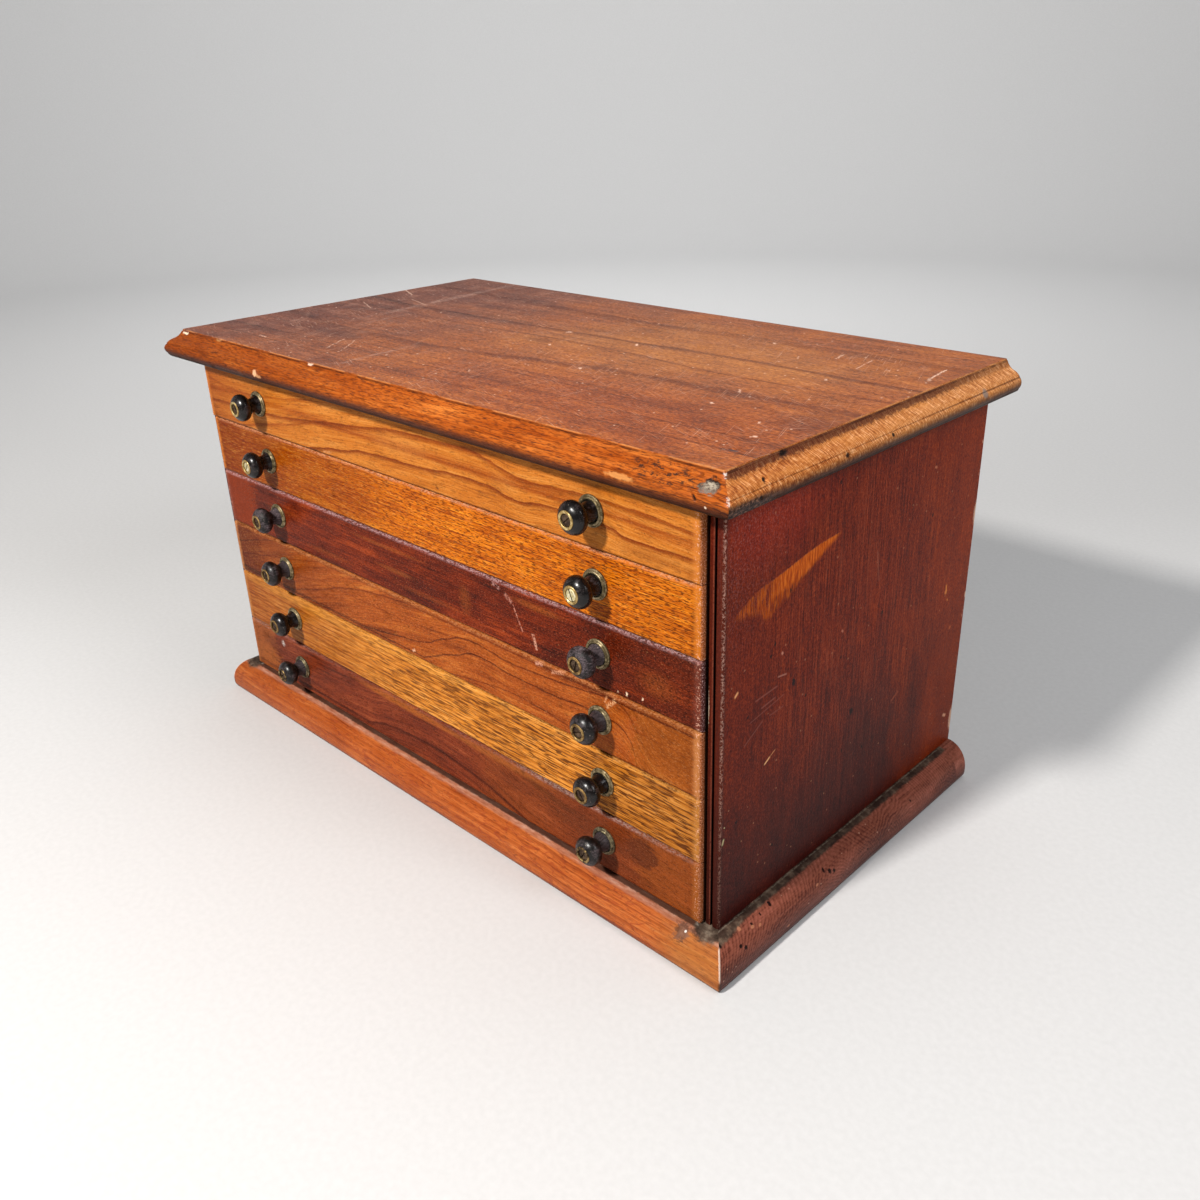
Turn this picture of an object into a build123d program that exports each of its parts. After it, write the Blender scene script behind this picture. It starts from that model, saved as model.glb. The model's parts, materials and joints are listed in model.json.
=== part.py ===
from build123d import *
import os
from math import radians, sin, cos

# A counter-top spool cabinet: a moulded top board, two solid sides and a back
# standing on a mitred plinth frame, with six shallow drawers one above the
# other. Each drawer runs on a wooden strip on each side and carries two turned
# knobs on brass rosettes.
#
# Frame: +X to the right seen from the front, +Y to the back, +Z up.
# Origin: on the floor, under the middle of the bounding box.
# All lengths in millimetres.

os.makedirs("parts", exist_ok=True)

# ---------------------------------------------------------------- dimensions
CASE_W = 626.0          # over the two side panels
CASE_D = 333.5          # front edge of the sides to the back
SIDE_T = 11.5           # side panel thickness
PLINTH_H = 32.5         # height of the plinth frame, the case stands on it
CASE_TOP = 355.5        # underside of the top board
TOP_T = 25.0            # top board thickness

# top board: the flat stops at an arris, the moulded edge goes on outwards
TOP_ARRIS_SIDE = 8.5
TOP_ARRIS_FRONT = 11.5
TOP_MOULD = 14.2        # how far the moulding stands out from the arris
TOP_BACK = 5.0          # plain overhang at the back

# plinth: how far it stands out from the case
PLINTH_OUT_SIDE = 19.5
PLINTH_OUT_FRONT = 22.0
PLINTH_ROUND_Z = 9.0    # the quarter round starts this high
PLINTH_TOE = 1.8        # wear at the foot
PLINTH_IN_FRONT = 28.0  # how far the front piece reaches in under the case
PLINTH_BACK_T = 17.0    # butt-jointed back piece

BACK_T = 9.0            # back panel, screwed into rabbets in the sides
BACK_RABBET = 6.0
BOTTOM_T = 8.0          # bottom board, stops behind the lowest drawer front
BOTTOM_START = 12.0

# drawers, top to bottom: boundaries between the fronts, and how far each front
# stands out from the edge of the sides when the drawer is shut
DRAWER_Z = [353.4, 300.1, 246.8, 193.5, 140.2, 86.9, 34.1]
DRAWER_PROUD = [7.4, 6.0, 5.6, 6.1, 6.1, 6.5]
FRONT_GAP = 0.8         # gap between one front and the next
FRONT_W = 600.6
FRONT_T = 16.0
FRONT_ROUND = 2.6       # rounding of the outer edges

BOX_W = 599.0           # over the drawer sides
BOX_SIDE_T = 10.0
BOX_H = 40.0
BOX_LIFT = 8.2          # underside of the box above the bottom of the front
BOX_BACK_T = 9.0
BOX_END = 323.0         # back end of the drawer sides, from the case front
LAP = 6.0               # the sides are lapped this far into the front
BOTTOM_PANEL_T = 4.0
BOTTOM_PANEL_UP = 4.5   # underside of the bottom panel above the box underside
GROOVE_IN = 4.0         # depth of the grooves that hold the bottom panel

# wooden runner strips on the sides of the case, in grooves of the drawer sides
RUNNER_H = 8.0
RUNNER_OUT = 6.6
RUNNER_START = 14.0
RUNNER_UP = 18.0        # underside of the runner above the box underside
RUNNER_PLAY_TOP = 0.3
RUNNER_PLAY_UNDER = 0.6
RUNNER_PLAY_SIDE = 0.5

# knobs, measured outwards from the face of the drawer front
KNOB_X = 208.0
KNOB_UP = 1.0           # knob axis above the middle of the front
KNOB_R = 12.0           # largest radius of the ball
KNOB_LEN = 24.0
BALL_S = 16.9           # middle of the ball
BALL_HALF = 7.8         # half its thickness
NECK_R = 6.2
FOOT_R = 8.0
ROSETTE_R = 11.5
RING_R = 6.75
RING_IN = 4.75
SCREW_HEAD_R = 4.4
SCREW_R = 1.8
SCREW_IN = 12.0         # how deep the knob screw goes into the front
# sunk depth of each screw head below the ring, and the angle of its slot
HEAD_SUNK = [(1.3, 1.2), (0.9, 0.35), (1.3, 1.4), (1.2, 1.3), (1.1, 1.2), (1.3, 1.2)]
SLOT_DEG = [(-72, 40), (55, -68), (15, 75), (80, 20), (-30, -55), (35, 62)]

# back panel screws
BACK_SCREW_Z = [58.0, 125.0, 195.0, 265.0, 335.0]
BACK_SCREW_HEAD_R = 2.7
BACK_SCREW_R = 1.4
BACK_SCREW_L = 22.0

# ------------------------------------------------------- derived positions
KNOB_FRONT = max(DRAWER_PROUD) + KNOB_LEN
CASE_Y = -(CASE_D + TOP_BACK - KNOB_FRONT) / 2   # front edge of the sides
CASE_BACK_Y = CASE_Y + CASE_D
HALF_W = CASE_W / 2
INNER_X = HALF_W - SIDE_T
TOP_Z = CASE_TOP + TOP_T


def front_plane(y):
    """A vertical plane at y that looks to the front: local x is +X, local y is +Z."""
    return Plane(origin=(0, y, 0), x_dir=(1, 0, 0), z_dir=(0, -1, 0))


def axis_plane(x, y, z):
    """A plane through a knob's axis: local x is the radius, local y goes outwards."""
    return Plane(origin=(x, y, z), x_dir=(1, 0, 0), z_dir=(0, 0, -1))


def top_edge(x0, s):
    """The moulded edge of the top board, from the arris at x0 outwards (s = +1 or
    -1) and down to the underside: a small quirk, a shallow ogee, a fine line and a
    rounded nose."""
    def p(t, d):
        return (x0 + s * t, TOP_Z - d)

    Line(p(0, 0), p(0.35, 1.3))
    Line(p(0.35, 1.3), p(0.9, 1.6))
    ThreePointArc(p(0.9, 1.6), p(3.2, 5.4), p(6.8, 8.0))
    ThreePointArc(p(6.8, 8.0), p(9.8, 9.75), p(12.2, 12.3))
    Line(p(12.2, 12.3), p(12.0, 12.75))
    Line(p(12.0, 12.75), p(12.6, 13.1))
    ThreePointArc(p(12.6, 13.1), p(TOP_MOULD, 17.3), p(12.7, 21.6))
    ThreePointArc(p(12.7, 21.6), p(11.3, 24.0), p(8.8, TOP_T))
    return p(0, 0), p(8.8, TOP_T)


def plinth_edge(x0, s, out):
    """The outer face of the plinth, from the floor up to its top at x0: a worn toe,
    a short upright face and a large quarter round."""
    foot = (x0 + s * (out - PLINTH_TOE), 0.0)
    Line(foot, (x0 + s * (out - 0.5), 2.6))
    Line((x0 + s * (out - 0.5), 2.6), (x0 + s * out, 5.0))
    Line((x0 + s * out, 5.0), (x0 + s * out, PLINTH_ROUND_Z))
    EllipticalCenterArc((x0, PLINTH_ROUND_Z), out, PLINTH_H - PLINTH_ROUND_Z,
                        0 if s > 0 else 180, arc_size=90 * s)
    return foot, (x0, PLINTH_H)


# ================================================================= the case
# top board: one wide board, moulded on the front and both ends
with BuildPart() as top_board:
    with BuildSketch(Plane.YZ):
        with BuildLine():
            top, under = top_edge(CASE_Y - TOP_ARRIS_FRONT, -1)
            Polyline(top, (CASE_BACK_Y + TOP_BACK, TOP_Z),
                     (CASE_BACK_Y + TOP_BACK, CASE_TOP), under)
        make_face()
    extrude(amount=HALF_W + TOP_ARRIS_SIDE + TOP_MOULD + 5, both=True)
    with BuildSketch(Plane.XZ):
        with BuildLine():
            top, under = top_edge(HALF_W + TOP_ARRIS_SIDE, 1)
            Line((0, TOP_Z), top)
            Line((0, CASE_TOP), under)
            mirror(about=Plane.YZ)
        make_face()
    extrude(amount=CASE_D, both=True, mode=Mode.INTERSECT)
top_board.part.label = "top_board"
export_step(top_board.part, "parts/top_board.step")

# side panels: the front edge has a corner bead and a sunk line beside it, the
# back edge a rabbet for the back panel
for side, s in (("left", -1), ("right", 1)):
    with BuildPart() as side_panel:
        with BuildSketch(Plane.XY.offset(PLINTH_H)):
            with BuildLine():
                Polyline((s * INNER_X, CASE_BACK_Y - BACK_T),
                         (s * INNER_X, CASE_Y + 0.6),
                         (s * (INNER_X + 0.6), CASE_Y),
                         (s * (HALF_W - 7.9), CASE_Y),
                         (s * (HALF_W - 7.3), CASE_Y + 0.5),
                         (s * (HALF_W - 7.2), CASE_Y + 2.4),
                         (s * (HALF_W - 6.3), CASE_Y + 2.4),
                         (s * (HALF_W - 6.1), CASE_Y + 0.9))
                ThreePointArc((s * (HALF_W - 6.1), CASE_Y + 0.9),
                              (s * (HALF_W - 5.4), CASE_Y + 0.25),
                              (s * (HALF_W - 4.4), CASE_Y))
                Line((s * (HALF_W - 4.4), CASE_Y), (s * (HALF_W - 2.2), CASE_Y))
                ThreePointArc((s * (HALF_W - 2.2), CASE_Y),
                              (s * (HALF_W - 0.65), CASE_Y + 0.65),
                              (s * HALF_W, CASE_Y + 2.2))
                Polyline((s * HALF_W, CASE_Y + 2.2),
                         (s * HALF_W, CASE_BACK_Y),
                         (s * (INNER_X + BACK_RABBET), CASE_BACK_Y),
                         (s * (INNER_X + BACK_RABBET), CASE_BACK_Y - BACK_T),
                         (s * INNER_X, CASE_BACK_Y - BACK_T))
            make_face()
        extrude(amount=CASE_TOP - PLINTH_H)
        # pilot holes for the back panel screws
        with BuildSketch(front_plane(CASE_BACK_Y - BACK_T)):
            with Locations([(s * (INNER_X + BACK_RABBET / 2), z) for z in BACK_SCREW_Z]):
                Circle(BACK_SCREW_R + 0.05)
        extrude(amount=BACK_SCREW_L - BACK_T + 1, mode=Mode.SUBTRACT)
    side_panel.part.label = f"side_panel_{side}"
    export_step(side_panel.part, f"parts/side_panel_{side}.step")

# back panel: lies in the rabbets, screwed from behind
with BuildPart() as back_panel:
    with BuildSketch(front_plane(CASE_BACK_Y)):
        with Locations((0, (PLINTH_H + CASE_TOP) / 2)):
            Rectangle(2 * (INNER_X + BACK_RABBET) - 0.4, CASE_TOP - PLINTH_H)
    extrude(amount=BACK_T)
    with BuildSketch(front_plane(CASE_BACK_Y)):
        with Locations([(s * (INNER_X + BACK_RABBET / 2), z)
                        for s in (-1, 1) for z in BACK_SCREW_Z]):
            Circle(BACK_SCREW_R + 0.1)
    extrude(amount=BACK_T, mode=Mode.SUBTRACT)
    for s in (-1, 1):
        for z in BACK_SCREW_Z:
            # countersinks
            with BuildSketch(axis_plane(s * (INNER_X + BACK_RABBET / 2), CASE_BACK_Y, z)):
                with BuildLine():
                    Polyline((0, 0), (BACK_SCREW_HEAD_R + 0.1, 0),
                             (BACK_SCREW_HEAD_R + 0.1, 0.25),
                             (BACK_SCREW_R + 0.1, BACK_SCREW_HEAD_R - BACK_SCREW_R + 0.25),
                             (0, BACK_SCREW_HEAD_R - BACK_SCREW_R + 0.25), close=True)
                make_face()
            revolve(axis=Axis((s * (INNER_X + BACK_RABBET / 2), CASE_BACK_Y, z), (0, 1, 0)),
                    mode=Mode.SUBTRACT)
back_panel.part.label = "back_panel"
export_step(back_panel.part, "parts/back_panel.step")

# the ten countersunk screws of the back panel
with BuildPart() as back_panel_screws:
    for s in (-1, 1):
        for i, z in enumerate(BACK_SCREW_Z):
            x = s * (INNER_X + BACK_RABBET / 2)
            with BuildSketch(axis_plane(x, CASE_BACK_Y, z)):
                with BuildLine():
                    Polyline((0, 0), (BACK_SCREW_HEAD_R, 0), (BACK_SCREW_HEAD_R, 0.15),
                             (BACK_SCREW_R, BACK_SCREW_HEAD_R - BACK_SCREW_R + 0.15),
                             (BACK_SCREW_R, BACK_SCREW_L - 3), (0.3, BACK_SCREW_L),
                             (0, BACK_SCREW_L), close=True)
                make_face()
            revolve(axis=Axis((x, CASE_BACK_Y, z), (0, 1, 0)))
            slot = Plane(origin=(x, CASE_BACK_Y, z), x_dir=(1, 0, 0), z_dir=(0, 1, 0))
            with BuildSketch(slot):
                Rectangle(2 * BACK_SCREW_HEAD_R + 1, 0.8, rotation=25 + 47 * i + 11 * s)
            extrude(amount=-0.8, mode=Mode.SUBTRACT)
back_panel_screws.part.label = "back_panel_screws"
export_step(back_panel_screws.part, "parts/back_panel_screws.step")

# bottom board of the case
with BuildPart() as bottom_board:
    with BuildSketch(Plane.XY.offset(PLINTH_H)):
        with Locations((0, (CASE_Y + BOTTOM_START + CASE_BACK_Y - BACK_T) / 2)):
            Rectangle(2 * INNER_X, CASE_D - BACK_T - BOTTOM_START)
    extrude(amount=BOTTOM_T)
bottom_board.part.label = "bottom_board"
export_step(bottom_board.part, "parts/bottom_board.step")

# plinth frame: front and sides mitred, the back piece butted behind the sides
OUT_X = HALF_W + PLINTH_OUT_SIDE
OUT_Y = CASE_Y - PLINTH_OUT_FRONT
MITRE = PLINTH_OUT_SIDE / PLINTH_OUT_FRONT
IN_Y = CASE_Y + PLINTH_IN_FRONT
IN_X = HALF_W - PLINTH_IN_FRONT * MITRE
PLINTH_BACK_Y = CASE_BACK_Y - PLINTH_BACK_T

with BuildPart() as plinth_front:
    with BuildSketch(Plane.YZ):
        with BuildLine():
            foot, top = plinth_edge(CASE_Y, -1, PLINTH_OUT_FRONT)
            Polyline(top, (IN_Y, PLINTH_H), (IN_Y, 0), foot)
        make_face()
    extrude(amount=OUT_X + 5, both=True)
    with BuildSketch(Plane.XY):
        with BuildLine():
            Polyline((-IN_X, IN_Y), (-OUT_X - 5 * MITRE, OUT_Y - 5),
                     (OUT_X + 5 * MITRE, OUT_Y - 5), (IN_X, IN_Y), close=True)
        make_face()
    extrude(amount=PLINTH_H + 5, mode=Mode.INTERSECT)
plinth_front.part.label = "plinth_front"
export_step(plinth_front.part, "parts/plinth_front.step")

for side, s in (("left", -1), ("right", 1)):
    with BuildPart() as plinth_side:
        with BuildSketch(front_plane(PLINTH_BACK_Y)):
            with BuildLine():
                foot, top = plinth_edge(s * HALF_W, s, PLINTH_OUT_SIDE)
                Polyline(top, (s * IN_X, PLINTH_H), (s * IN_X, 0), foot)
            make_face()
        extrude(amount=CASE_D + 40)
        with BuildSketch(Plane.XY):
            with BuildLine():
                Polyline((s * IN_X, IN_Y), (s * (OUT_X + 5 * MITRE), OUT_Y - 5),
                         (s * (OUT_X + 5 * MITRE), PLINTH_BACK_Y),
                         (s * IN_X, PLINTH_BACK_Y), close=True)
            make_face()
        extrude(amount=PLINTH_H + 5, mode=Mode.INTERSECT)
    plinth_side.part.label = f"plinth_{side}"
    export_step(plinth_side.part, f"parts/plinth_{side}.step")

with BuildPart() as plinth_back:
    with BuildSketch(front_plane(CASE_BACK_Y)):
        with BuildLine():
            foot, top = plinth_edge(HALF_W, 1, PLINTH_OUT_SIDE)
            Line((0, PLINTH_H), top)
            Line((0, 0), foot)
            mirror(about=Plane.YZ)
        make_face()
    extrude(amount=PLINTH_BACK_T)
plinth_back.part.label = "plinth_back"
export_step(plinth_back.part, "parts/plinth_back.step")

# runner strips, one for each side of each drawer
for side, s in (("left", -1), ("right", 1)):
    with BuildPart() as runners:
        for low in DRAWER_Z[1:]:
            z = low + FRONT_GAP / 2 + BOX_LIFT + RUNNER_UP
            with BuildSketch(front_plane(CASE_BACK_Y - BACK_T)):
                with Locations((s * (INNER_X - RUNNER_OUT / 2), z + RUNNER_H / 2)):
                    Rectangle(RUNNER_OUT, RUNNER_H)
            extrude(amount=CASE_D - BACK_T - RUNNER_START)
        lead = runners.edges().filter_by(Axis.Z).group_by(Axis.Y)[0]
        inner = [e for e in lead if abs(e.center().X) < INNER_X - 1]
        chamfer(inner, length=3.0)
    runners.part.label = f"drawer_runners_{side}"
    export_step(runners.part, f"parts/drawer_runners_{side}.step")

# ============================================================== the drawers
for n in range(6):
    name = f"drawer_{n + 1}"
    face_y = CASE_Y - DRAWER_PROUD[n]
    z_low = DRAWER_Z[n + 1] + FRONT_GAP / 2
    z_high = DRAWER_Z[n] - FRONT_GAP / 2
    z_mid = (z_low + z_high) / 2
    knob_z = z_mid + KNOB_UP
    box_z = z_low + BOX_LIFT
    inner_y = face_y + FRONT_T              # back face of the front board
    lap_y = inner_y - LAP                   # front ends of the drawer sides
    end_y = CASE_Y + BOX_END                # back ends of the drawer sides
    panel_z = box_z + BOTTOM_PANEL_UP
    side_in = BOX_W / 2 - BOX_SIDE_T        # inner faces of the drawer sides

    # front board: rounded outer edges, laps for the sides, a groove for the
    # bottom panel and a pilot hole behind each knob
    with BuildPart() as drawer_front:
        with BuildSketch(front_plane(face_y)):
            with Locations((0, z_mid)):
                Rectangle(FRONT_W, z_high - z_low)
        extrude(amount=-FRONT_T)
        fillet(drawer_front.faces().sort_by(Axis.Y)[0].edges(), radius=FRONT_ROUND)
        for s in (-1, 1):
            with BuildSketch(front_plane(lap_y)):
                with Locations((s * (side_in + 20), z_mid)):
                    Rectangle(40, z_high - z_low + 2)
            extrude(amount=-LAP, mode=Mode.SUBTRACT)
        with BuildSketch(front_plane(inner_y)):
            with Locations((0, panel_z + BOTTOM_PANEL_T / 2)):
                Rectangle(2 * side_in + 1, BOTTOM_PANEL_T)
        extrude(amount=GROOVE_IN, mode=Mode.SUBTRACT)
        with BuildSketch(front_plane(face_y)):
            with Locations((-KNOB_X, knob_z), (KNOB_X, knob_z)):
                Circle(SCREW_R + 0.05)
        extrude(amount=-SCREW_IN - 0.5, mode=Mode.SUBTRACT)
    drawer_front.part.label = f"{name}_front"
    export_step(drawer_front.part, f"parts/{name}_front.step")

    # drawer sides: a groove outside for the runner, one inside for the bottom
    runner_z = box_z + RUNNER_UP
    for side, s in (("left", -1), ("right", 1)):
        with BuildPart() as drawer_side:
            with BuildSketch(front_plane(end_y)):
                with Locations((s * (side_in + BOX_SIDE_T / 2), box_z + BOX_H / 2)):
                    Rectangle(BOX_SIDE_T, BOX_H)
            extrude(amount=end_y - lap_y)
            with BuildSketch(front_plane(end_y)):
                depth = RUNNER_OUT - (INNER_X - BOX_W / 2) + RUNNER_PLAY_SIDE
                high = RUNNER_H + RUNNER_PLAY_TOP + RUNNER_PLAY_UNDER
                with Locations((s * (BOX_W / 2 - depth / 2 + 1),
                                runner_z - RUNNER_PLAY_UNDER + high / 2)):
                    Rectangle(depth + 2, high)
            extrude(amount=end_y - inner_y - 1, mode=Mode.SUBTRACT)
            with BuildSketch(front_plane(end_y)):
                with Locations((s * (side_in + GROOVE_IN / 2 - 1), panel_z + BOTTOM_PANEL_T / 2)):
                    Rectangle(GROOVE_IN + 2, BOTTOM_PANEL_T)
            extrude(amount=end_y - lap_y, mode=Mode.SUBTRACT)
        drawer_side.part.label = f"{name}_side_{side}"
        export_step(drawer_side.part, f"parts/{name}_side_{side}.step")

    # back of the drawer, between the sides and above the bottom panel
    with BuildPart() as drawer_back:
        with BuildSketch(front_plane(end_y - 4)):
            low = panel_z + BOTTOM_PANEL_T
            with Locations((0, (low + box_z + BOX_H - 2) / 2)):
                Rectangle(2 * side_in, box_z + BOX_H - 2 - low)
        extrude(amount=BOX_BACK_T)
    drawer_back.part.label = f"{name}_back"
    export_step(drawer_back.part, f"parts/{name}_back.step")

    # bottom panel, held in the grooves of the front and the sides
    with BuildPart() as drawer_bottom:
        with BuildSketch(front_plane(end_y - 4)):
            with Locations((0, panel_z + BOTTOM_PANEL_T / 2)):
                Rectangle(2 * (side_in + GROOVE_IN) - 0.6, BOTTOM_PANEL_T)
        extrude(amount=end_y - 4 - inner_y - 0.5)
        with BuildSketch(front_plane(inner_y + 0.5)):
            with Locations((0, panel_z + BOTTOM_PANEL_T / 2)):
                Rectangle(2 * side_in - 0.6, BOTTOM_PANEL_T)
        extrude(amount=0.5 + GROOVE_IN - 0.3)
    drawer_bottom.part.label = f"{name}_bottom"
    export_step(drawer_bottom.part, f"parts/{name}_bottom.step")

    # turned knobs: a flared foot, a thick waist and a flattened ball with a
    # seat in its face for the brass ring and the screw head
    with BuildPart() as knobs:
        for s in (-1, 1):
            with BuildSketch(axis_plane(s * KNOB_X, face_y, knob_z)):
                with BuildLine():
                    Polyline((SCREW_R + 0.15, 1.2), (FOOT_R, 1.2), (FOOT_R, 2.3), (7.85, 2.6))
                    ThreePointArc((7.85, 2.6), (6.75, 5.6), (NECK_R, 9.4))
                    a0, a1 = -57.2, 54.6
                    low_p = (KNOB_R * cos(radians(a0)), BALL_S + BALL_HALF * sin(radians(a0)))
                    high_p = (KNOB_R * cos(radians(a1)), BALL_S + BALL_HALF * sin(radians(a1)))
                    Line((NECK_R, 9.4), low_p)
                    EllipticalCenterArc((0, BALL_S), KNOB_R, BALL_HALF, a0, arc_size=a1 - a0)
                    Polyline(high_p, (RING_R + 0.1, high_p[1] - 0.15),
                             (RING_R + 0.1, KNOB_LEN - 1.4), (SCREW_HEAD_R + 0.2, KNOB_LEN - 1.4),
                             (SCREW_HEAD_R + 0.2, 20.6), (SCREW_R + 0.15, 20.6),
                             (SCREW_R + 0.15, 1.2))
                make_face()
            revolve(axis=Axis((s * KNOB_X, face_y, knob_z), (0, -1, 0)))
    knobs.part.label = f"{name}_knobs"
    export_step(knobs.part, f"parts/{name}_knobs.step")

    # brass of the knobs: a stepped rosette behind each and a ring in each face
    with BuildPart() as brasses:
        for s in (-1, 1):
            with BuildSketch(axis_plane(s * KNOB_X, face_y, knob_z)):
                with BuildLine():
                    Polyline((SCREW_R + 0.2, 1.2), (SCREW_R + 0.2, 0), (ROSETTE_R - 0.2, 0),
                             (ROSETTE_R, 0.2), (ROSETTE_R, 0.8))
                    ThreePointArc((ROSETTE_R, 0.8), (11.2, 1.5), (10.45, 1.65))
                    Line((10.45, 1.65), (10.3, 1.8))
                    ThreePointArc((10.3, 1.8), (9.75, 2.6), (8.9, 2.75))
                    Polyline((8.9, 2.75), (8.45, 2.4), (8.35, 1.2), (SCREW_R + 0.2, 1.2))
                make_face()
                with BuildLine():
                    Polyline((RING_IN, KNOB_LEN - 1.4), (RING_R, KNOB_LEN - 1.4),
                             (RING_R, KNOB_LEN - 0.55))
                    ThreePointArc((RING_R, KNOB_LEN - 0.55), (RING_R - 0.2, KNOB_LEN - 0.15),
                                  (RING_R - 0.65, KNOB_LEN))
                    Polyline((RING_R - 0.65, KNOB_LEN), (RING_IN + 0.35, KNOB_LEN),
                             (RING_IN, KNOB_LEN - 0.3), (RING_IN, KNOB_LEN - 1.4))
                make_face()
            revolve(axis=Axis((s * KNOB_X, face_y, knob_z), (0, -1, 0)))
    brasses.part.label = f"{name}_knob_brasses"
    export_step(brasses.part, f"parts/{name}_knob_brasses.step")

    # the slotted screws that hold the knobs
    with BuildPart() as screws:
        for k, s in enumerate((-1, 1)):
            head = KNOB_LEN - HEAD_SUNK[n][k]
            with BuildSketch(axis_plane(s * KNOB_X, face_y, knob_z)):
                with BuildLine():
                    Polyline((0, -SCREW_IN), (0.4, -SCREW_IN), (SCREW_R, -SCREW_IN + 3),
                             (SCREW_R, 20.6), (SCREW_HEAD_R, 20.6), (SCREW_HEAD_R, head - 0.3),
                             (SCREW_HEAD_R - 0.5, head), (0, head), close=True)
                make_face()
            revolve(axis=Axis((s * KNOB_X, face_y, knob_z), (0, -1, 0)))
            with BuildSketch(Plane(origin=(s * KNOB_X, face_y - head, knob_z),
                                   x_dir=(1, 0, 0), z_dir=(0, -1, 0))):
                Rectangle(2 * SCREW_HEAD_R + 1, 1.0, rotation=SLOT_DEG[n][k])
            extrude(amount=-1.1, mode=Mode.SUBTRACT)
    screws.part.label = f"{name}_knob_screws"
    export_step(screws.part, f"parts/{name}_knob_screws.step")
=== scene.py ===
import json
import math
import bpy
import bmesh
import numpy as np
from mathutils import Matrix, Vector

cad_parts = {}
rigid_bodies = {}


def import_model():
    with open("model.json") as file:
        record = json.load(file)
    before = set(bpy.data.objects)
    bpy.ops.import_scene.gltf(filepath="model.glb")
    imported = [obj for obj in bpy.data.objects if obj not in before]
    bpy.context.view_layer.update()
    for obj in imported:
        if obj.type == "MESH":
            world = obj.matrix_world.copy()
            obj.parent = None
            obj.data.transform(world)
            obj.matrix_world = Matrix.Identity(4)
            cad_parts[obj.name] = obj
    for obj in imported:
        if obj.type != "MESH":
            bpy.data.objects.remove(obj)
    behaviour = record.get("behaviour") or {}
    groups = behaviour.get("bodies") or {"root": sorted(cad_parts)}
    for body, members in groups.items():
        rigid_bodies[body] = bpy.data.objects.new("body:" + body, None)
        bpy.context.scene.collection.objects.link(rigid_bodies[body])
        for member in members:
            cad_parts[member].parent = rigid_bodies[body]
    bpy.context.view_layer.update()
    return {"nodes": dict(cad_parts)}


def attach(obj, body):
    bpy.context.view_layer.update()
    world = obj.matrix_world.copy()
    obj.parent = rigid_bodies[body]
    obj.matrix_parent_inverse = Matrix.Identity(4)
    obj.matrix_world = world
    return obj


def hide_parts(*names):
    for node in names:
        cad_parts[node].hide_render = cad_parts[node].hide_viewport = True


for _o in list(bpy.data.objects):
    bpy.data.objects.remove(_o, do_unlink=True)

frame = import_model()
N = frame["nodes"]

# ------------------------------------------------------------------ frame, mm
CY = -153.55            # front edge of the side panels
CB = CY + 333.5         # back of the case
TOPZ = 380.5
Z = [353.4, 300.1, 246.8, 193.5, 140.2, 86.9, 34.1]
PROUD = [7.4, 6.0, 5.6, 6.1, 6.1, 6.5]
GAP = 0.8
KNOB_X = 208.0


# ================================================================ node helpers
def C(h, k=1.0):
    """A display colour such as "b4662b" as a linear node colour, k times as bright."""
    v = [int(h[i:i + 2], 16) / 255 for i in (0, 2, 4)]
    return tuple(k * (c / 12.92 if c <= 0.04045 else ((c + 0.055) / 1.055) ** 2.4) for c in v) + (1.0,)


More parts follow.
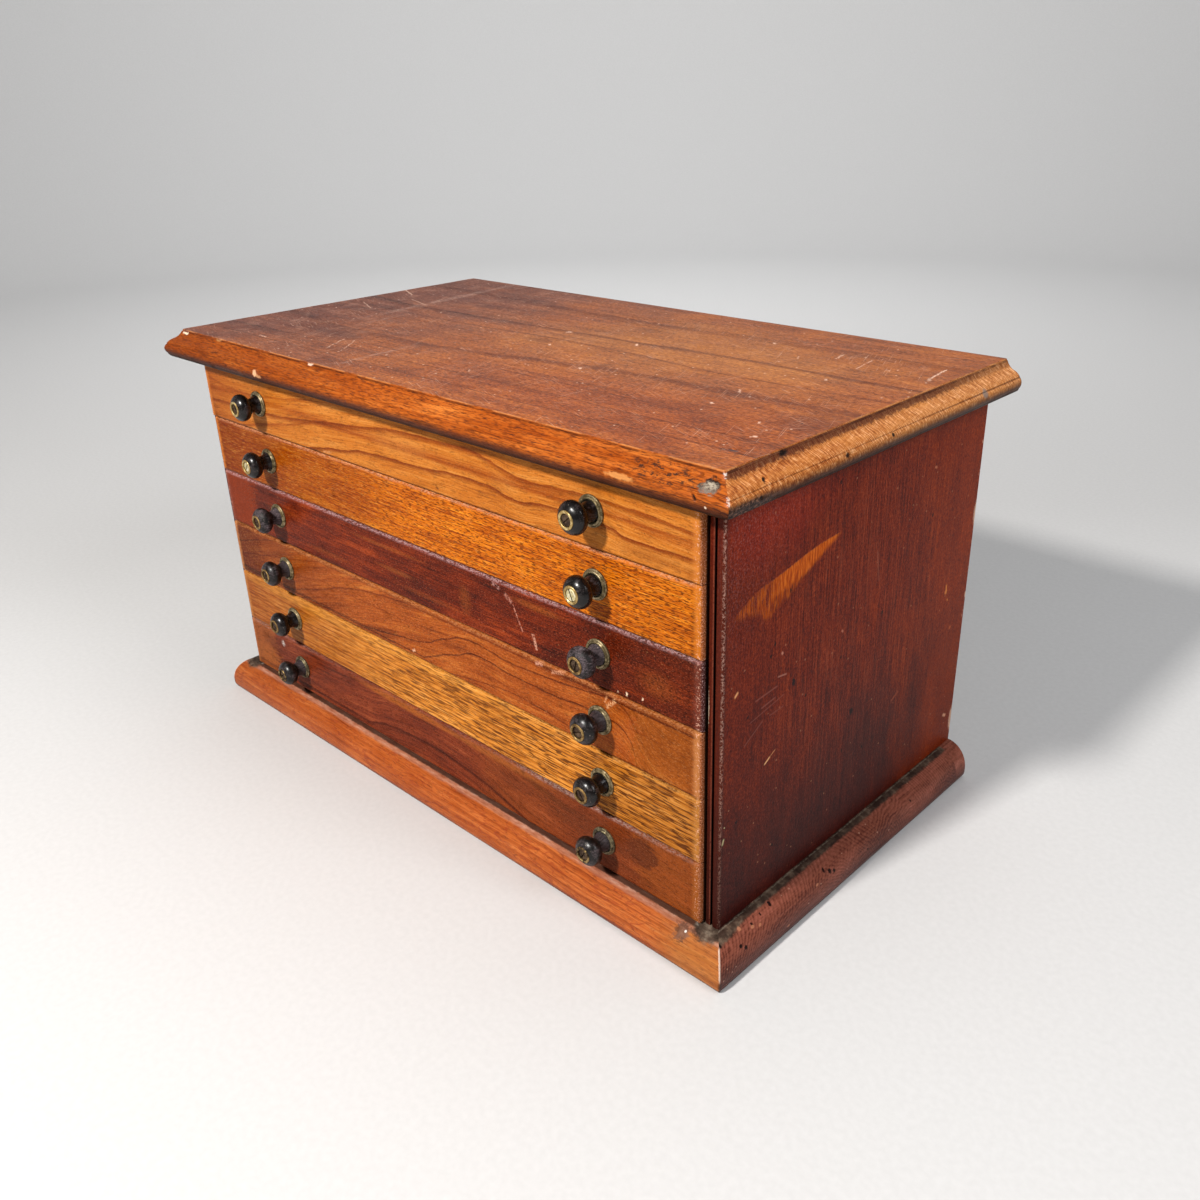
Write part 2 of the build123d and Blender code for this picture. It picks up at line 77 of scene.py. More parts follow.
class Graph:
    """A material with short calls for the nodes it is built from. Lengths are in mm."""

    def __init__(self, name):
        self.m = bpy.data.materials.new(name)
        self.m.use_nodes = True
        self.t = self.m.node_tree
        self.t.nodes.clear()
        out = self.t.nodes.new("ShaderNodeOutputMaterial")
        self.b = self.t.nodes.new("ShaderNodeBsdfPrincipled")
        self.t.links.new(self.b.outputs[0], out.inputs[0])
        tc = self.t.nodes.new("ShaderNodeTexCoord")
        n = self.t.nodes.new("ShaderNodeVectorMath")
        n.operation = "SCALE"
        n.inputs["Scale"].default_value = 1000.0
        self.t.links.new(tc.outputs["Object"], n.inputs[0])
        self.P = n.outputs[0]
        s = self.t.nodes.new("ShaderNodeSeparateXYZ")
        self.t.links.new(self.P, s.inputs[0])
        self.x, self.y, self.z = s.outputs
        self.tc = tc

    def put(self, socket, v):
        if isinstance(v, bpy.types.NodeSocket):
            self.t.links.new(v, socket)
        else:
            socket.default_value = v

    def f(self, op, a, b=None, c=None, clamp=False):
        n = self.t.nodes.new("ShaderNodeMath")
        n.operation = op
        n.use_clamp = clamp
        for i, v in enumerate((a, b, c)):
            if v is not None:
                self.put(n.inputs[i], v)
        return n.outputs[0]

    def add(self, *v):
        r = v[0]
        for k in v[1:]:
            r = self.f("ADD", r, k)
        return r

    def mul(self, *v):
        r = v[0]
        for k in v[1:]:
            r = self.f("MULTIPLY", r, k)
        return r

    def sub(self, a, b):
        return self.f("SUBTRACT", a, b)

    def inv(self, a):
        return self.f("SUBTRACT", 1.0, a)

    def maxi(self, *v):
        r = v[0]
        for k in v[1:]:
            r = self.f("MAXIMUM", r, k)
        return r

    def ss(self, v, a, b, lo=0.0, hi=1.0):
        n = self.t.nodes.new("ShaderNodeMapRange")
        n.interpolation_type = "SMOOTHSTEP"
        for i, k in enumerate((v, a, b, lo, hi)):
            self.put(n.inputs[i], k)
        return n.outputs[0]

    def vec(self, a, b, c):
        n = self.t.nodes.new("ShaderNodeCombineXYZ")
        for i, v in enumerate((a, b, c)):
            self.put(n.inputs[i], v)
        return n.outputs[0]

    def sc(self, v, k, shift=(0, 0, 0)):
        """v times k, plus shift."""
        n = self.t.nodes.new("ShaderNodeVectorMath")
        n.operation = "MULTIPLY_ADD"
        self.put(n.inputs[0], v)
        n.inputs[1].default_value = k
        n.inputs[2].default_value = shift
        return n.outputs[0]

    def turn(self, v, deg, axis="Z"):
        n = self.t.nodes.new("ShaderNodeVectorRotate")
        n.rotation_type = axis + "_AXIS"
        self.put(n.inputs["Vector"], v)
        n.inputs["Angle"].default_value = math.radians(deg)
        return n.outputs[0]

    def noise(self, v, detail=2.0, rough=0.5, dist=0.0):
        n = self.t.nodes.new("ShaderNodeTexNoise")
        self.put(n.inputs["Vector"], v)
        n.inputs["Scale"].default_value = 1.0
        n.inputs["Detail"].default_value = detail
        n.inputs["Roughness"].default_value = rough
        n.inputs["Distortion"].default_value = dist
        return n.outputs["Fac"]

    def cells(self, v, feature="F1", rand=1.0):
        n = self.t.nodes.new("ShaderNodeTexVoronoi")
        n.feature = feature
        self.put(n.inputs["Vector"], v)
        n.inputs["Scale"].default_value = 1.0
        n.inputs["Randomness"].default_value = rand
        return n.outputs["Distance"]

    def curve(self, v, pts):
        """A smooth curve through pts, (from, to) pairs, read at v."""
        xs = [p[0] for p in pts]
        ys = [p[1] for p in pts]
        x0, x1, y0, y1 = min(xs), max(xs), min(ys), max(ys)
        n = self.t.nodes.new("ShaderNodeFloatCurve")
        t = self.f("DIVIDE", self.sub(v, x0), x1 - x0, clamp=True)
        self.put(n.inputs["Value"], t)
        c = n.mapping.curves[0]
        norm = [((a - x0) / (x1 - x0), (b - y0) / max(1e-6, y1 - y0)) for a, b in pts]
        c.points[0].location = norm[0]
        c.points[1].location = norm[-1]
        for q in norm[1:-1]:
            c.points.new(*q)
        for q in c.points:
            q.handle_type = "AUTO_CLAMPED"
        n.mapping.update()
        return self.f("MULTIPLY_ADD", n.outputs[0], y1 - y0, y0)

    def ramp(self, v, stops, kind="LINEAR"):
        n = self.t.nodes.new("ShaderNodeValToRGB")
        e = n.color_ramp.elements
        n.color_ramp.interpolation = kind
        while len(e) > 1:
            e.remove(e[-1])
        e[0].position, e[0].color = stops[0]
        for pos, col in stops[1:]:
            k = e.new(pos)
            k.color = col
        self.put(n.inputs[0], v)
        return n.outputs[0]

    def mix(self, fac, a, b, kind="MIX"):
        n = self.t.nodes.new("ShaderNodeMix")
        n.data_type = "RGBA"
        n.blend_type = kind
        self.put(n.inputs[0], fac)
        self.put(n.inputs[6], a)
        self.put(n.inputs[7], b)
        return n.outputs[2]

    def bump(self, height, mm=0.2, strength=1.0, normal=None):
        n = self.t.nodes.new("ShaderNodeBump")
        n.inputs["Strength"].default_value = strength
        n.inputs["Distance"].default_value = mm / 1000.0
        self.put(n.inputs["Height"], height)
        if normal is not None:
            self.put(n.inputs["Normal"], normal)
        return n.outputs[0]

    def done(self, colour=None, rough=None, normal=None, **sockets):
        names = {"metallic": "Metallic", "coat": "Coat Weight", "coat_rough": "Coat Roughness",
                 "ior": "IOR", "spec": "Specular IOR Level"}
        if colour is not None:
            self.put(self.b.inputs["Base Color"], colour)
        if rough is not None:
            self.put(self.b.inputs["Roughness"], rough)
        if normal is not None:
            self.put(self.b.inputs["Normal"], normal)
        for k, v in sockets.items():
            self.put(self.b.inputs[names[k]], v)
        return self.m

    # ------------------------------------------------ marks drawn on a plane
    def band(self, u, v, pts, below, above, wobble=None):
        """1 on a curve v(u) through pts, fading over below under it and above over it."""
        d = self.sub(v, self.curve(u, pts))
        if wobble is not None:
            d = self.add(d, wobble)
        return self.mul(self.ss(d, -below, 0.0), self.ss(d, 0.0, above, 1.0, 0.0))

    def blob(self, u, v, cu, cv, ru, rv, soft=0.3, wobble=None):
        a = self.f("DIVIDE", self.sub(u, cu), ru)
        b = self.f("DIVIDE", self.sub(v, cv), rv)
        d = self.f("SQRT", self.add(self.mul(a, a), self.mul(b, b)))
        if wobble is not None:
            d = self.add(d, wobble)
        return self.ss(d, 1.0 - soft, 1.0 + soft, 1.0, 0.0)

    def stroke(self, uv, a, b, width, soft=0.4):
        """1 on the line from a to b, in the plane that uv = (u, v, 0) spans."""
        du, dv = b[0] - a[0], b[1] - a[1]
        length = math.hypot(du, dv)
        du, dv = du / length, dv / length
        n = self.t.nodes.new("ShaderNodeVectorMath")
        n.operation = "SUBTRACT"
        self.put(n.inputs[0], uv)
        n.inputs[1].default_value = (a[0], a[1], 0)

        def dot(k):
            d = self.t.nodes.new("ShaderNodeVectorMath")
            d.operation = "DOT_PRODUCT"
            self.put(d.inputs[0], n.outputs[0])
            d.inputs[1].default_value = k
            return d.outputs["Value"]

        along, across = dot((du, dv, 0)), self.f("ABSOLUTE", dot((-dv, du, 0)))
        end = min(2.0, length / 3)
        return self.mul(self.ss(across, width * (0.5 - soft), width * (0.5 + soft), 1.0, 0.0),
                        self.ss(along, 0.0, end), self.ss(along, length - end, length, 1.0, 0.0))


# ================================================================ wood
def grain(g, u, v, w, seed, wander=3.0, wander_len=120.0, ring=9.0, ring_jitter=0.8,
          pore_len=5.0, pore_w=0.62, pore_lo=0.60, pore_hi=0.70):
    """The layers of a board's grain. u runs along it, v across the face and w through
    the board. Returns a dict of 0 to 1 fields."""
    r = {}
    slow = g.noise(g.vec(g.mul(u, 1 / wander_len), g.mul(v, 1 / 55), g.add(g.mul(w, 1 / 55), seed)), 2.0)
    q = g.add(v, g.mul(g.sub(slow, 0.5), wander * 2))
    r["q"] = q
    jit = g.noise(g.vec(g.mul(u, 1 / 260), g.mul(q, 1 / 14), g.add(g.mul(w, 1 / 30), seed + 7.3)), 2.0)
    t = g.add(g.mul(q, 1 / ring), g.mul(jit, ring_jitter * 2))
    saw = g.f("FRACT", g.add(t, 100.0))
    late = g.mul(g.ss(saw, 0.45, 0.93), g.ss(saw, 0.93, 1.0, 1.0, 0.0))
    r["late"] = late
    fine_v = g.vec(g.mul(u, 1 / 38), g.mul(q, 1 / 0.9), g.add(g.mul(w, 1 / 1.2), seed))
    r["fine"] = g.noise(fine_v, 3.0, 0.6)
    mid_v = g.vec(g.mul(u, 1 / 95), g.mul(q, 1 / 5.5), g.add(g.mul(w, 1 / 7), seed + 3.1))
    r["mid"] = g.noise(mid_v, 3.0, 0.55)
    pv = g.vec(g.mul(u, 1 / pore_len), g.mul(q, 1 / pore_w), g.add(g.mul(w, 1 / pore_w), seed + 11.0))
    r["pores"] = g.ss(g.noise(pv, 1.0, 0.5), pore_lo, pore_hi)
    bv = g.vec(g.mul(u, 1 / 60), g.mul(v, 1 / 26), g.add(g.mul(w, 1 / 40), seed + 5.7))
    r["blot"] = g.noise(bv, 3.0, 0.6)
    return r


def tone(g, r, base=0.5, mid=0.7, fine=0.5, blot=0.5, late=0.3):
    """One 0 to 1 value from the layers, dark to light."""
    v = g.f("MULTIPLY_ADD", g.sub(r["mid"], 0.5), mid * 3.2, base)
    v = g.f("MULTIPLY_ADD", g.sub(r["fine"], 0.5), fine * 4.2, v)
    v = g.f("MULTIPLY_ADD", g.sub(r["blot"], 0.5), blot * 2.4, v)
    v = g.sub(v, g.mul(r["late"], late))
    return v


def front_material(n, spec):
    """A drawer front. Its face is the x, z plane."""
    g = Graph(f"front_wood_{n + 1}_aged")
    x, y, z = g.x, g.y, g.z
    z0, z1 = Z[n + 1] + GAP / 2, Z[n] - GAP / 2
    face = CY - PROUD[n]
    if spec.get("flow"):
        v = g.sub(z, g.curve(x, spec["flow"]))
    else:
        v = z
    kw = spec.get("grain", {})
    r = grain(g, x, v, y, 3.7 * n + 1.3, **kw)
    val = tone(g, r, **spec.get("tone", {}))
    col = g.ramp(val, spec["ramp"])
    wob = g.mul(g.sub(g.noise(g.sc(g.P, (0.09, 0.3, 0.35), (n * 5.0, 0, 0)), 3.0, 0.6), 0.5), 1.0)
    # shades from end to end
    for pts, tint, amount in spec.get("shade", []):
        m = g.mul(g.curve(g.add(x, g.mul(wob, 60.0)), pts), amount)
        col = g.mix(m, col, tint, "MIX")
    for pts, below, above, tint, amount in spec.get("bands", []):
        m = g.band(x, z, pts, below, above, g.mul(wob, 2.6))
        col = g.mix(g.mul(m, amount), col, tint, "MULTIPLY")
    for cu, cv, ru, rv, soft, tint, amount, kind in spec.get("blobs", []):
        m = g.blob(x, z, cu, cv, ru, rv, soft, g.mul(wob, 0.9))
        col = g.mix(g.mul(m, amount), col, tint, kind)
    # dark open pores
    dens = spec.get("pores", 0.6)
    pores = r["pores"]
    if spec.get("pore_where"):
        pores = g.mul(pores, g.curve(x, spec["pore_where"]))
    col = g.mix(g.mul(pores, dens), col, spec.get("pore_col", C("3a1608")))
    uv = g.vec(x, z, 0.0)
    for a, b, width, tint, amount in spec.get("strokes", []):
        rough_edge = g.ss(g.noise(g.sc(g.P, (0.7, 0.7, 0.7)), 2.0), 0.38, 0.55)
        m = g.mul(g.stroke(uv, a, b, width), rough_edge)
        col = g.mix(g.mul(m, amount), col, tint)
    gx, gz = spec.get("grit_size", (1.7, 0.8))
    grit = g.noise(g.sc(g.P, (1 / gx, 1 / 1.0, 1 / gz), (n * 7.0, 0, 0)), 2.0, 0.7)
    col = g.mix(g.mul(g.ss(grit, 0.50, 0.66), spec.get("grit", 0.25)), col, spec.get("grit_col", C("48200c")))
    col = g.mix(g.mul(g.ss(grit, 0.46, 0.32), spec.get("glint", 0.16)), col, spec.get("glint_col", C("e8a868")))
    # grime on the broad face, thin and uneven
    grime = g.ss(g.noise(g.sc(g.P, (1 / 22, 1 / 22, 1 / 9), (0, n * 3.3, 0)), 4.0, 0.65), 0.52, 0.75)
    col = g.mix(g.mul(grime, spec.get("grime", 0.25)), col, C("5a2410"), "MULTIPLY")
    specks = g.ss(g.cells(g.sc(g.P, (1 / 7.0, 1 / 7.0, 1 / 7.0), (n * 2.0, 0, 0))), 0.05, 0.09, 1.0, 0.0)
    col = g.mix(g.mul(specks, 0.55), col, spec.get("speck", C("2a1008")))
    # the rounded edges: rubbed light at the top and the ends, with a painted highlight on the upward-facing top
    # rounding; painted shade darker below
    ragged = g.noise(g.sc(g.P, (1 / 2.2, 1 / 1.2, 1 / 1.2), (n, 0, 0)), 3.0, 0.7)
    edge_n = g.mul(g.sub(ragged, 0.5), 3.6)
    crumb = g.ss(ragged, 0.44, 0.56)
    top_d = g.add(g.sub(z1, z), edge_n)
    soft_edge = g.noise(g.sc(g.P, (1 / 24, 1 / 4, 1 / 4), (n * 4.1, 0, 0)), 3.0, 0.6)
    mt = g.mul(g.ss(g.add(top_d, g.mul(soft_edge, 2.4)), 1.8, 4.6, 1.0, 0.0), g.add(0.15, g.mul(crumb, 0.85)))
    fleck = g.noise(g.sc(g.P, (1 / 1.1, 1 / 0.9, 1 / 0.9), (n, 2, 0)), 2.0, 0.6)
    mt = g.mul(mt, g.ss(fleck, 0.36, 0.52, 0.35, 1.0))
    # the worn top band also carries a painted highlight where the rounding faces up
    tw = spec.get("top_wear_and_highlight", (C("c98050"), 0.6))
    if spec.get("top_where"):
        mt = g.mul(mt, g.curve(x, spec["top_where"]))
    col = g.mix(g.mul(mt, tw[1]), col, tw[0])
    # painted shade: a darker band along the lower rounded edge
    low_d = g.sub(z, z0)
    low_edge_shade = g.ss(g.add(low_d, g.mul(edge_n, 0.4)), 0.2, 2.6, 1.0, 0.0)
    col = g.mix(g.mul(low_edge_shade, 0.75), col, C("4a1c0c"), "MULTIPLY")
    ax = g.f("ABSOLUTE", x)
    shadow = g.mul(g.ss(g.add(ax, edge_n, g.mul(soft_edge, -8.0)), 282.0, 290.0), g.ss(z, z0 + 2.0, z0 + 16.0, 1.0, 0.3))
    col = g.mix(g.mul(shadow, 0.30), col, C("8c5434"), "MULTIPLY")
    rub = g.mul(g.ss(g.add(ax, edge_n, g.mul(soft_edge, -5.0)), 289.5, 295.0), g.ss(ax, 299.2, 300.0, 1.0, 0.0))
    col = g.mix(g.mul(rub, spec.get("end", 0.6)), col, spec.get("end_col", C("cc7838")))
    # painted shade: the top two fronts are dimmed slightly for the brighter light that falls on them
    if n < 2:
        col = g.mix(1.0, col, (C("f2f0ee"), C("eeebe8"))[n], "MULTIPLY")
    bits = g.mul(rub, g.ss(g.noise(g.sc(g.P, (1 / 1.3, 1 / 1.3, 1 / 1.3), (0, 4, n)), 2.0, 0.6), 0.56, 0.64), g.ss(ax, 294.5, 298.0))
    col = g.mix(g.mul(bits, 0.6), col, C("d8a890"))
    me = g.ss(g.add(ax, g.mul(edge_n, 0.35)), 299.0, 300.1)
    # painted shadow: the end face turns near black where it runs back into the gap beside the side panel
    gap_shadow = g.ss(g.add(y, g.mul(edge_n, 0.25)), CY - 2.0, CY - 0.6)
    end_grain = g.noise(g.vec(g.mul(y, 1 / 1.0), g.mul(z, 1 / 1.1), n * 3.0), 3.0, 0.7)
    end_col = g.ramp(end_grain, spec.get("end_ramp", [(0.36, C("4c2412")), (0.47, C("9c5630")), (0.58, C("b87048")), (0.64, C("e0b8a0"))]))
    col = g.mix(g.mul(me, 0.85), col, end_col)
    col = g.mix(g.mul(gap_shadow, me, 0.95), col, C("100806"))
    # the sides and the back of the board are bare and darker
    hidden = g.mul(g.ss(y, face + 5.0, face + 8.0), g.ss(ax, 300.0, 300.2, 1.0, 0.0))
    col = g.mix(g.mul(hidden, 0.85), col, C("7a4c2c"))
    # relief
    h = g.add(g.mul(pores, -0.55), g.mul(r["fine"], 0.30), g.mul(specks, -0.3), g.mul(mt, -0.25), g.mul(ragged, g.mul(mt, 0.8)))
    nrm = g.bump(h, 0.16, 0.8)
    orange = g.noise(g.sc(g.P, (1 / 2.4, 1 / 2.4, 1 / 2.4)), 2.0, 0.5)
    nrm = g.bump(orange, 0.10, 0.5, nrm)
    rough = g.ss(g.add(g.mul(r["blot"], 0.5), g.mul(grime, 0.3), g.mul(mt, 0.4), g.mul(pores, 0.3)), 0.1, 1.0,
                 spec.get("rough", 0.30), 0.62)
    return g.done(col, rough, nrm, spec=0.045)


def ramp4(a, b, c, d, lo=0.2, hi=0.8):
    s = (hi - lo) / 3
    return [(lo, C(a)), (lo + s, C(b)), (lo + 2 * s, C(c)), (hi, C(d))]


FRONTS = [
    # golden, with two long wavy dark growth lines
    dict(ramp=ramp4("94501c", "b8681e", "c87c30", "d69048"),
         flow=[(-300, 300), (-200, 306), (-130, 313), (-60, 319), (0, 322), (60, 323), (110, 323), (135, 320),
               (160, 322), (200, 323), (240, 320), (300, 317)],
         grain=dict(wander=1.6, ring=15.0, ring_jitter=0.5, pore_len=6.0, pore_w=0.9, pore_lo=0.56, pore_hi=0.66),
         tone=dict(mid=0.20, fine=0.22, blot=0.22, late=0.06),
         bands=[([(-300, 319), (-200, 321), (-106, 330), (-50, 336), (-1, 342), (40, 343.5), (80, 344.5), (102, 342),
                  (124, 337), (148, 334.5), (175, 336), (215, 337.5), (250, 337), (300, 334)], 5.5, 0.8, C("a8744c"), 0.85),
                ([(-300, 290), (-190, 313), (-155, 319), (-135, 324), (-110, 329)], 4.0, 1.0, C("b8805c"), 0.6),
                ([(-180, 296), (-130, 303), (-100, 308.5), (-78, 311), (-50, 315.5), (-20, 317), (15, 318), (38, 319),
                  (60, 321.5), (95, 322), (110, 321), (125, 318), (136, 317.5), (155, 320), (190, 321.5), (225, 320),
                  (243, 316.5), (300, 317)], 5.0, 0.7, C("9c6844"), 0.95),
                ([(150, 331), (220, 331), (260, 327), (300, 325)], 7.0, 5.0, C("c89468"), 0.55),
                ([(-300, 340), (-230, 334), (-180, 338), (-120, 346), (-60, 351)], 3.0, 1.0, C("b87c54"), 0.5)],
         shade=[([(-300, 1.0), (-262, 0.6), (-215, 0.3), (-150, 0.12), (-60, 0.0), (300, 0.0)], C("8c4014"), 0.7)],
         blobs=[(118, 326, 13, 5, 0.6, C("a46c34"), 0.20, "MIX"),
                (0, 331, 34, 9, 0.35, C("c88440"), 0.25, "MIX"), (262, 309, 32, 4, 0.6, C("8c5424"), 0.4, "MIX")],
         strokes=[((41, 306.6), (46, 304.8), 1.6, C("5c2c10"), 0.85), ((-112, 303), (-98, 305.2), 1.8, C("d8a070"), 0.6),
                  ((156, 304), (162, 302.6), 1.4, C("6c3614"), 0.7)],
         pores=0.45, pore_col=C("6c3c18"), top_wear_and_highlight=(C("c8843c"), 0.5), end=0.6, end_col=C("cc7c34")),
    # vivid orange, with fine straight dark pores
    dict(ramp=ramp4("8c3c08", "c06008", "d6760e", "ec9428"),
         grain=dict(wander=0.8, ring=4.2, ring_jitter=0.7, pore_len=5.5, pore_w=0.95, pore_lo=0.52, pore_hi=0.60),
         tone=dict(mid=0.18, fine=0.36, blot=0.24, late=0.14),
         pore_where=[(-300, 0.45), (-100, 0.6), (60, 0.9), (160, 0.9), (210, 1.0), (300, 1.0)],
         shade=[([(-300, 1.0), (-250, 0.85), (-150, 0.65), (-90, 0.5), (-40, 0.25), (20, 0.0), (300, 0.0)], C("681c00"), 0.85),
                ([(-300, 0.0), (200, 0.0), (250, 0.25), (300, 0.5)], C("9c540c"), 0.4)],
         blobs=[],
         pores=0.85, pore_col=C("582406"), grit=0.22, glint=0.28, grit_size=(7.0, 0.75), glint_col=C("f0a850"), top_wear_and_highlight=(C("d89c78"), 0.8), end=0.7, end_col=C("cc7828")),
    # dark red-brown, orange at the left end, speckled at the right
    dict(ramp=ramp4("300c06", "501606", "682006", "8c3610"),
         grain=dict(wander=3.0, ring=12.0, ring_jitter=0.8, pore_len=2.6, pore_w=1.3, pore_lo=0.52, pore_hi=0.64),
         tone=dict(mid=0.20, fine=0.20, blot=0.36, late=0.05),
         shade=[([(-300, 1.0), (-262, 1.0), (-250, 0.85), (-238, 0.0), (300, 0.0)], C("782800"), 0.85),
                ([(-300, 0.0), (190, 0.0), (230, 0.6), (300, 1.0)], C("481c08"), 0.35)],
         pore_where=[(-300, 0.3), (-100, 0.5), (120, 0.7), (200, 1.0), (300, 1.0)],
         blobs=[(-40, 235, 44, 1.6, 0.6, C("8c4416"), 0.55, "MIX"), (-30, 216, 22, 2.0, 0.6, C("904a1c"), 0.5, "MIX"),
                (146, 236.5, 22, 2.6, 0.7, C("94501c"), 0.45, "MIX"), (62, 218, 6, 10, 0.7, C("8c4818"), 0.35, "MIX"),
                (262, 216, 14, 8, 0.8, C("8c4818"), 0.35, "MIX"), (-130, 204, 30, 2.5, 0.6, C("8c4418"), 0.3, "MIX"),
                (20, 205, 40, 2.0, 0.6, C("8c4418"), 0.3, "MIX"), (-200, 228, 26, 2.0, 0.6, C("7c3814"), 0.4, "MIX")],
         strokes=[((110, 238), (119, 232), 3.4, C("b88070"), 0.6), ((119, 232), (129, 211), 1.3, C("b87c68"), 0.85),
                  ((139.5, 215), (143.5, 200.5), 2.6, C("c89078"), 0.85),
                  ((232.6, 198.9), (235.6, 198.2), 2.6, C("f0d8b8"), 1.0), ((248, 200.4), (250.4, 199.8), 2.2, C("e8c8a8"), 1.0),
                  ((224.8, 197.6), (226.9, 197.0), 1.8, C("e0b898"), 0.9), ((96, 243), (106, 240), 3.0, C("c09088"), 0.6)],
         pores=0.55, pore_col=C("200a04"), top_wear_and_highlight=(C("b08c8c"), 0.85), speck=C("a06840"), end=0.35, end_col=C("7c4438"),
         grit=0.45, grit_col=C("1c0804"), glint=0.34, glint_col=C("a8583c"),
         end_ramp=[(0.36, C("200c0c")), (0.5, C("4c2420")), (0.60, C("94706c")), (0.66, C("c0a8a8"))],
         grime=0.35, rough=0.26),
    # orange-brown with a cathedral figure
    dict(ramp=ramp4("682a08", "8e4010", "a25018", "b86c2c"),
         flow=[(-300, 92), (-240, 110), (-200, 122), (-150, 138), (-100, 152), (-50, 163), (0, 171), (45, 177), (80, 180.5),
               (110, 179), (160, 180), (205, 182), (228, 178), (241, 166), (252, 152), (270, 142), (300, 138)],
         grain=dict(wander=2.2, ring=9.0, ring_jitter=0.9, pore_len=4.0, pore_w=1.0, pore_lo=0.54, pore_hi=0.66),
         tone=dict(mid=0.20, fine=0.20, blot=0.28, late=0.06),
         shade=[([(-300, 1.0), (-262, 0.9), (-240, 0.55), (-190, 0.4), (-120, 0.15), (-40, 0.0), (300, 0.0)], C("481000"), 0.85),
                ([(-300, 0.0), (236, 0.0), (246, 1.0), (300, 1.0)], C("84440c"), 0.6)],
         bands=[([(-202, 148), (-156, 161.7), (-109, 177), (-52, 187), (-20, 190)], 2.4, 0.7, C("8c5030"), 0.7),
                ([(-80, 147), (-40, 153), (0, 159.8), (31, 173), (73, 182.9), (108, 180), (173, 184), (212, 189)],
                 1.8, 0.7, C("7c4424"), 0.85),
                ([(0, 145.4), (46, 163.7), (81, 172.3), (108, 169.4), (158, 169.4), (192, 172), (221, 171.4), (236, 163),
                  (241, 152), (243, 141)], 2.0, 0.7, C("6c3418"), 0.85),
                ([(31, 142), (85, 150.2), (115, 153.1), (169, 149.2), (195, 143)], 1.6, 0.7, C("8c5030"), 0.7),
                ([(-290, 175), (-250, 186), (-225, 192)], 1.6, 0.8, C("8c4c2c"), 0.7),
                ([(-300, 160), (-230, 174), (-180, 184), (-150, 191)], 1.6, 0.8, C("a0603c"), 0.5),
                ([(-300, 148), (-250, 152), (-200, 163), (-150, 172)], 1.4, 0.8, C("a0603c"), 0.4)],
         blobs=[(286, 168, 22, 20, 0.25, C("7c3c0c"), 0.30, "MIX")],
         strokes=[((213.5, 180), (224.5, 190.5), 3.0, C("e0a878"), 0.85), ((212, 183), (216, 191), 1.6, C("d89868"), 0.7),
                  ((157, 188.5), (173, 193), 2.6, C("d89a78"), 0.7), ((140, 189.5), (150, 192), 3.0, C("d8a088"), 0.6),
                  ((-17.5, 145.3), (-12, 148.2), 2.4, C("ecc0a0"), 0.95)],
         pores=0.50, pore_col=C("5c2c10"), top_wear_and_highlight=(C("c08050"), 0.65), end=0.65, end_col=C("b87844")),
    # golden with strong straight dark lines
    dict(ramp=ramp4("884a10", "bc701e", "d08632", "e4a050"),
         grain=dict(wander=1.1, ring=4.4, ring_jitter=1.0, pore_len=14.0, pore_w=1.15, pore_lo=0.50, pore_hi=0.60),
         tone=dict(mid=0.20, fine=0.36, blot=0.20, late=0.26),
         pore_where=[(-300, 0.3), (-140, 0.45), (-60, 0.7), (60, 0.85), (180, 1.0), (300, 1.0)],
         shade=[([(-300, 1.0), (-230, 0.75), (-150, 0.5), (-60, 0.12), (0, 0.0), (300, 0.0)], C("742800"), 0.72),
                ([(-300, 0.0), (170, 0.0), (210, 0.4), (260, 0.8), (300, 1.0)], C("7c4614"), 0.5)],
         blobs=[(-100, 134.5, 210, 4.0, 0.5, C("cc8834"), 0.5, "MIX"), (100, 135, 80, 3.0, 0.5, C("c47c2c"), 0.45, "MIX")],
         pores=0.90, pore_col=C("4c240a"), grit=0.20, glint=0.16, grit_size=(9.0, 0.8), top_wear_and_highlight=(C("cc9450"), 0.55), end=0.55, end_col=C("b47838")),
    # dark with one wavy band, orange at both ends
    dict(ramp=ramp4("3c1208", "602210", "762f16", "924626"),
         flow=[(-300, 30), (-100, 42), (-60, 50), (0, 55.5), (40, 54), (70, 50), (95, 43), (120, 36), (300, 20)],
         grain=dict(wander=3.5, ring=11.0, ring_jitter=0.8, pore_len=5.0, pore_w=1.0, pore_lo=0.54, pore_hi=0.66),
         tone=dict(mid=0.22, fine=0.20, blot=0.32, late=0.06),
         shade=[([(-300, 1.0), (-268, 1.0), (-256, 0.75), (-244, 0.0), (300, 0.0)], C("8c4818"), 0.85),
                ([(-300, 0.0), (30, 0.0), (110, 0.55), (200, 0.35), (238, 0.5), (252, 1.0), (300, 1.0)], C("904a10"), 0.5)],
         bands=[([(-100, 42), (-61, 52), (-30, 55), (0, 55.8), (38, 53.9), (65, 50), (92, 44), (120, 36)], 4.5, 1.6,
                 C("7c3c38"), 0.85)],
         blobs=[(-40, 82.5, 62, 3.2, 0.6, C("a85c1c"), 0.6, "MIX"), (82, 82.0, 64, 3.0, 0.6, C("a45c24"), 0.5, "MIX"),
                (246, 69.5, 15, 12, 0.16, C("4c200c"), 0.75, "MIX"), (205, 66, 46, 13, 0.5, C("602a12"), 0.6, "MIX"),
                (225, 42, 38, 7, 0.35, C("642a10"), 0.5, "MIX"), (108, 68, 24, 7, 0.5, C("5c2816"), 0.35, "MIX"),
                (-250, 70, 22, 9, 0.5, C("4c180c"), 0.5, "MIX"), (-282, 52, 26, 12, 0.4, C("985420"), 0.4, "MIX")],
         strokes=[((-243.5, 74), (-238, 79), 4.6, C("d0c8c0"), 0.85)],
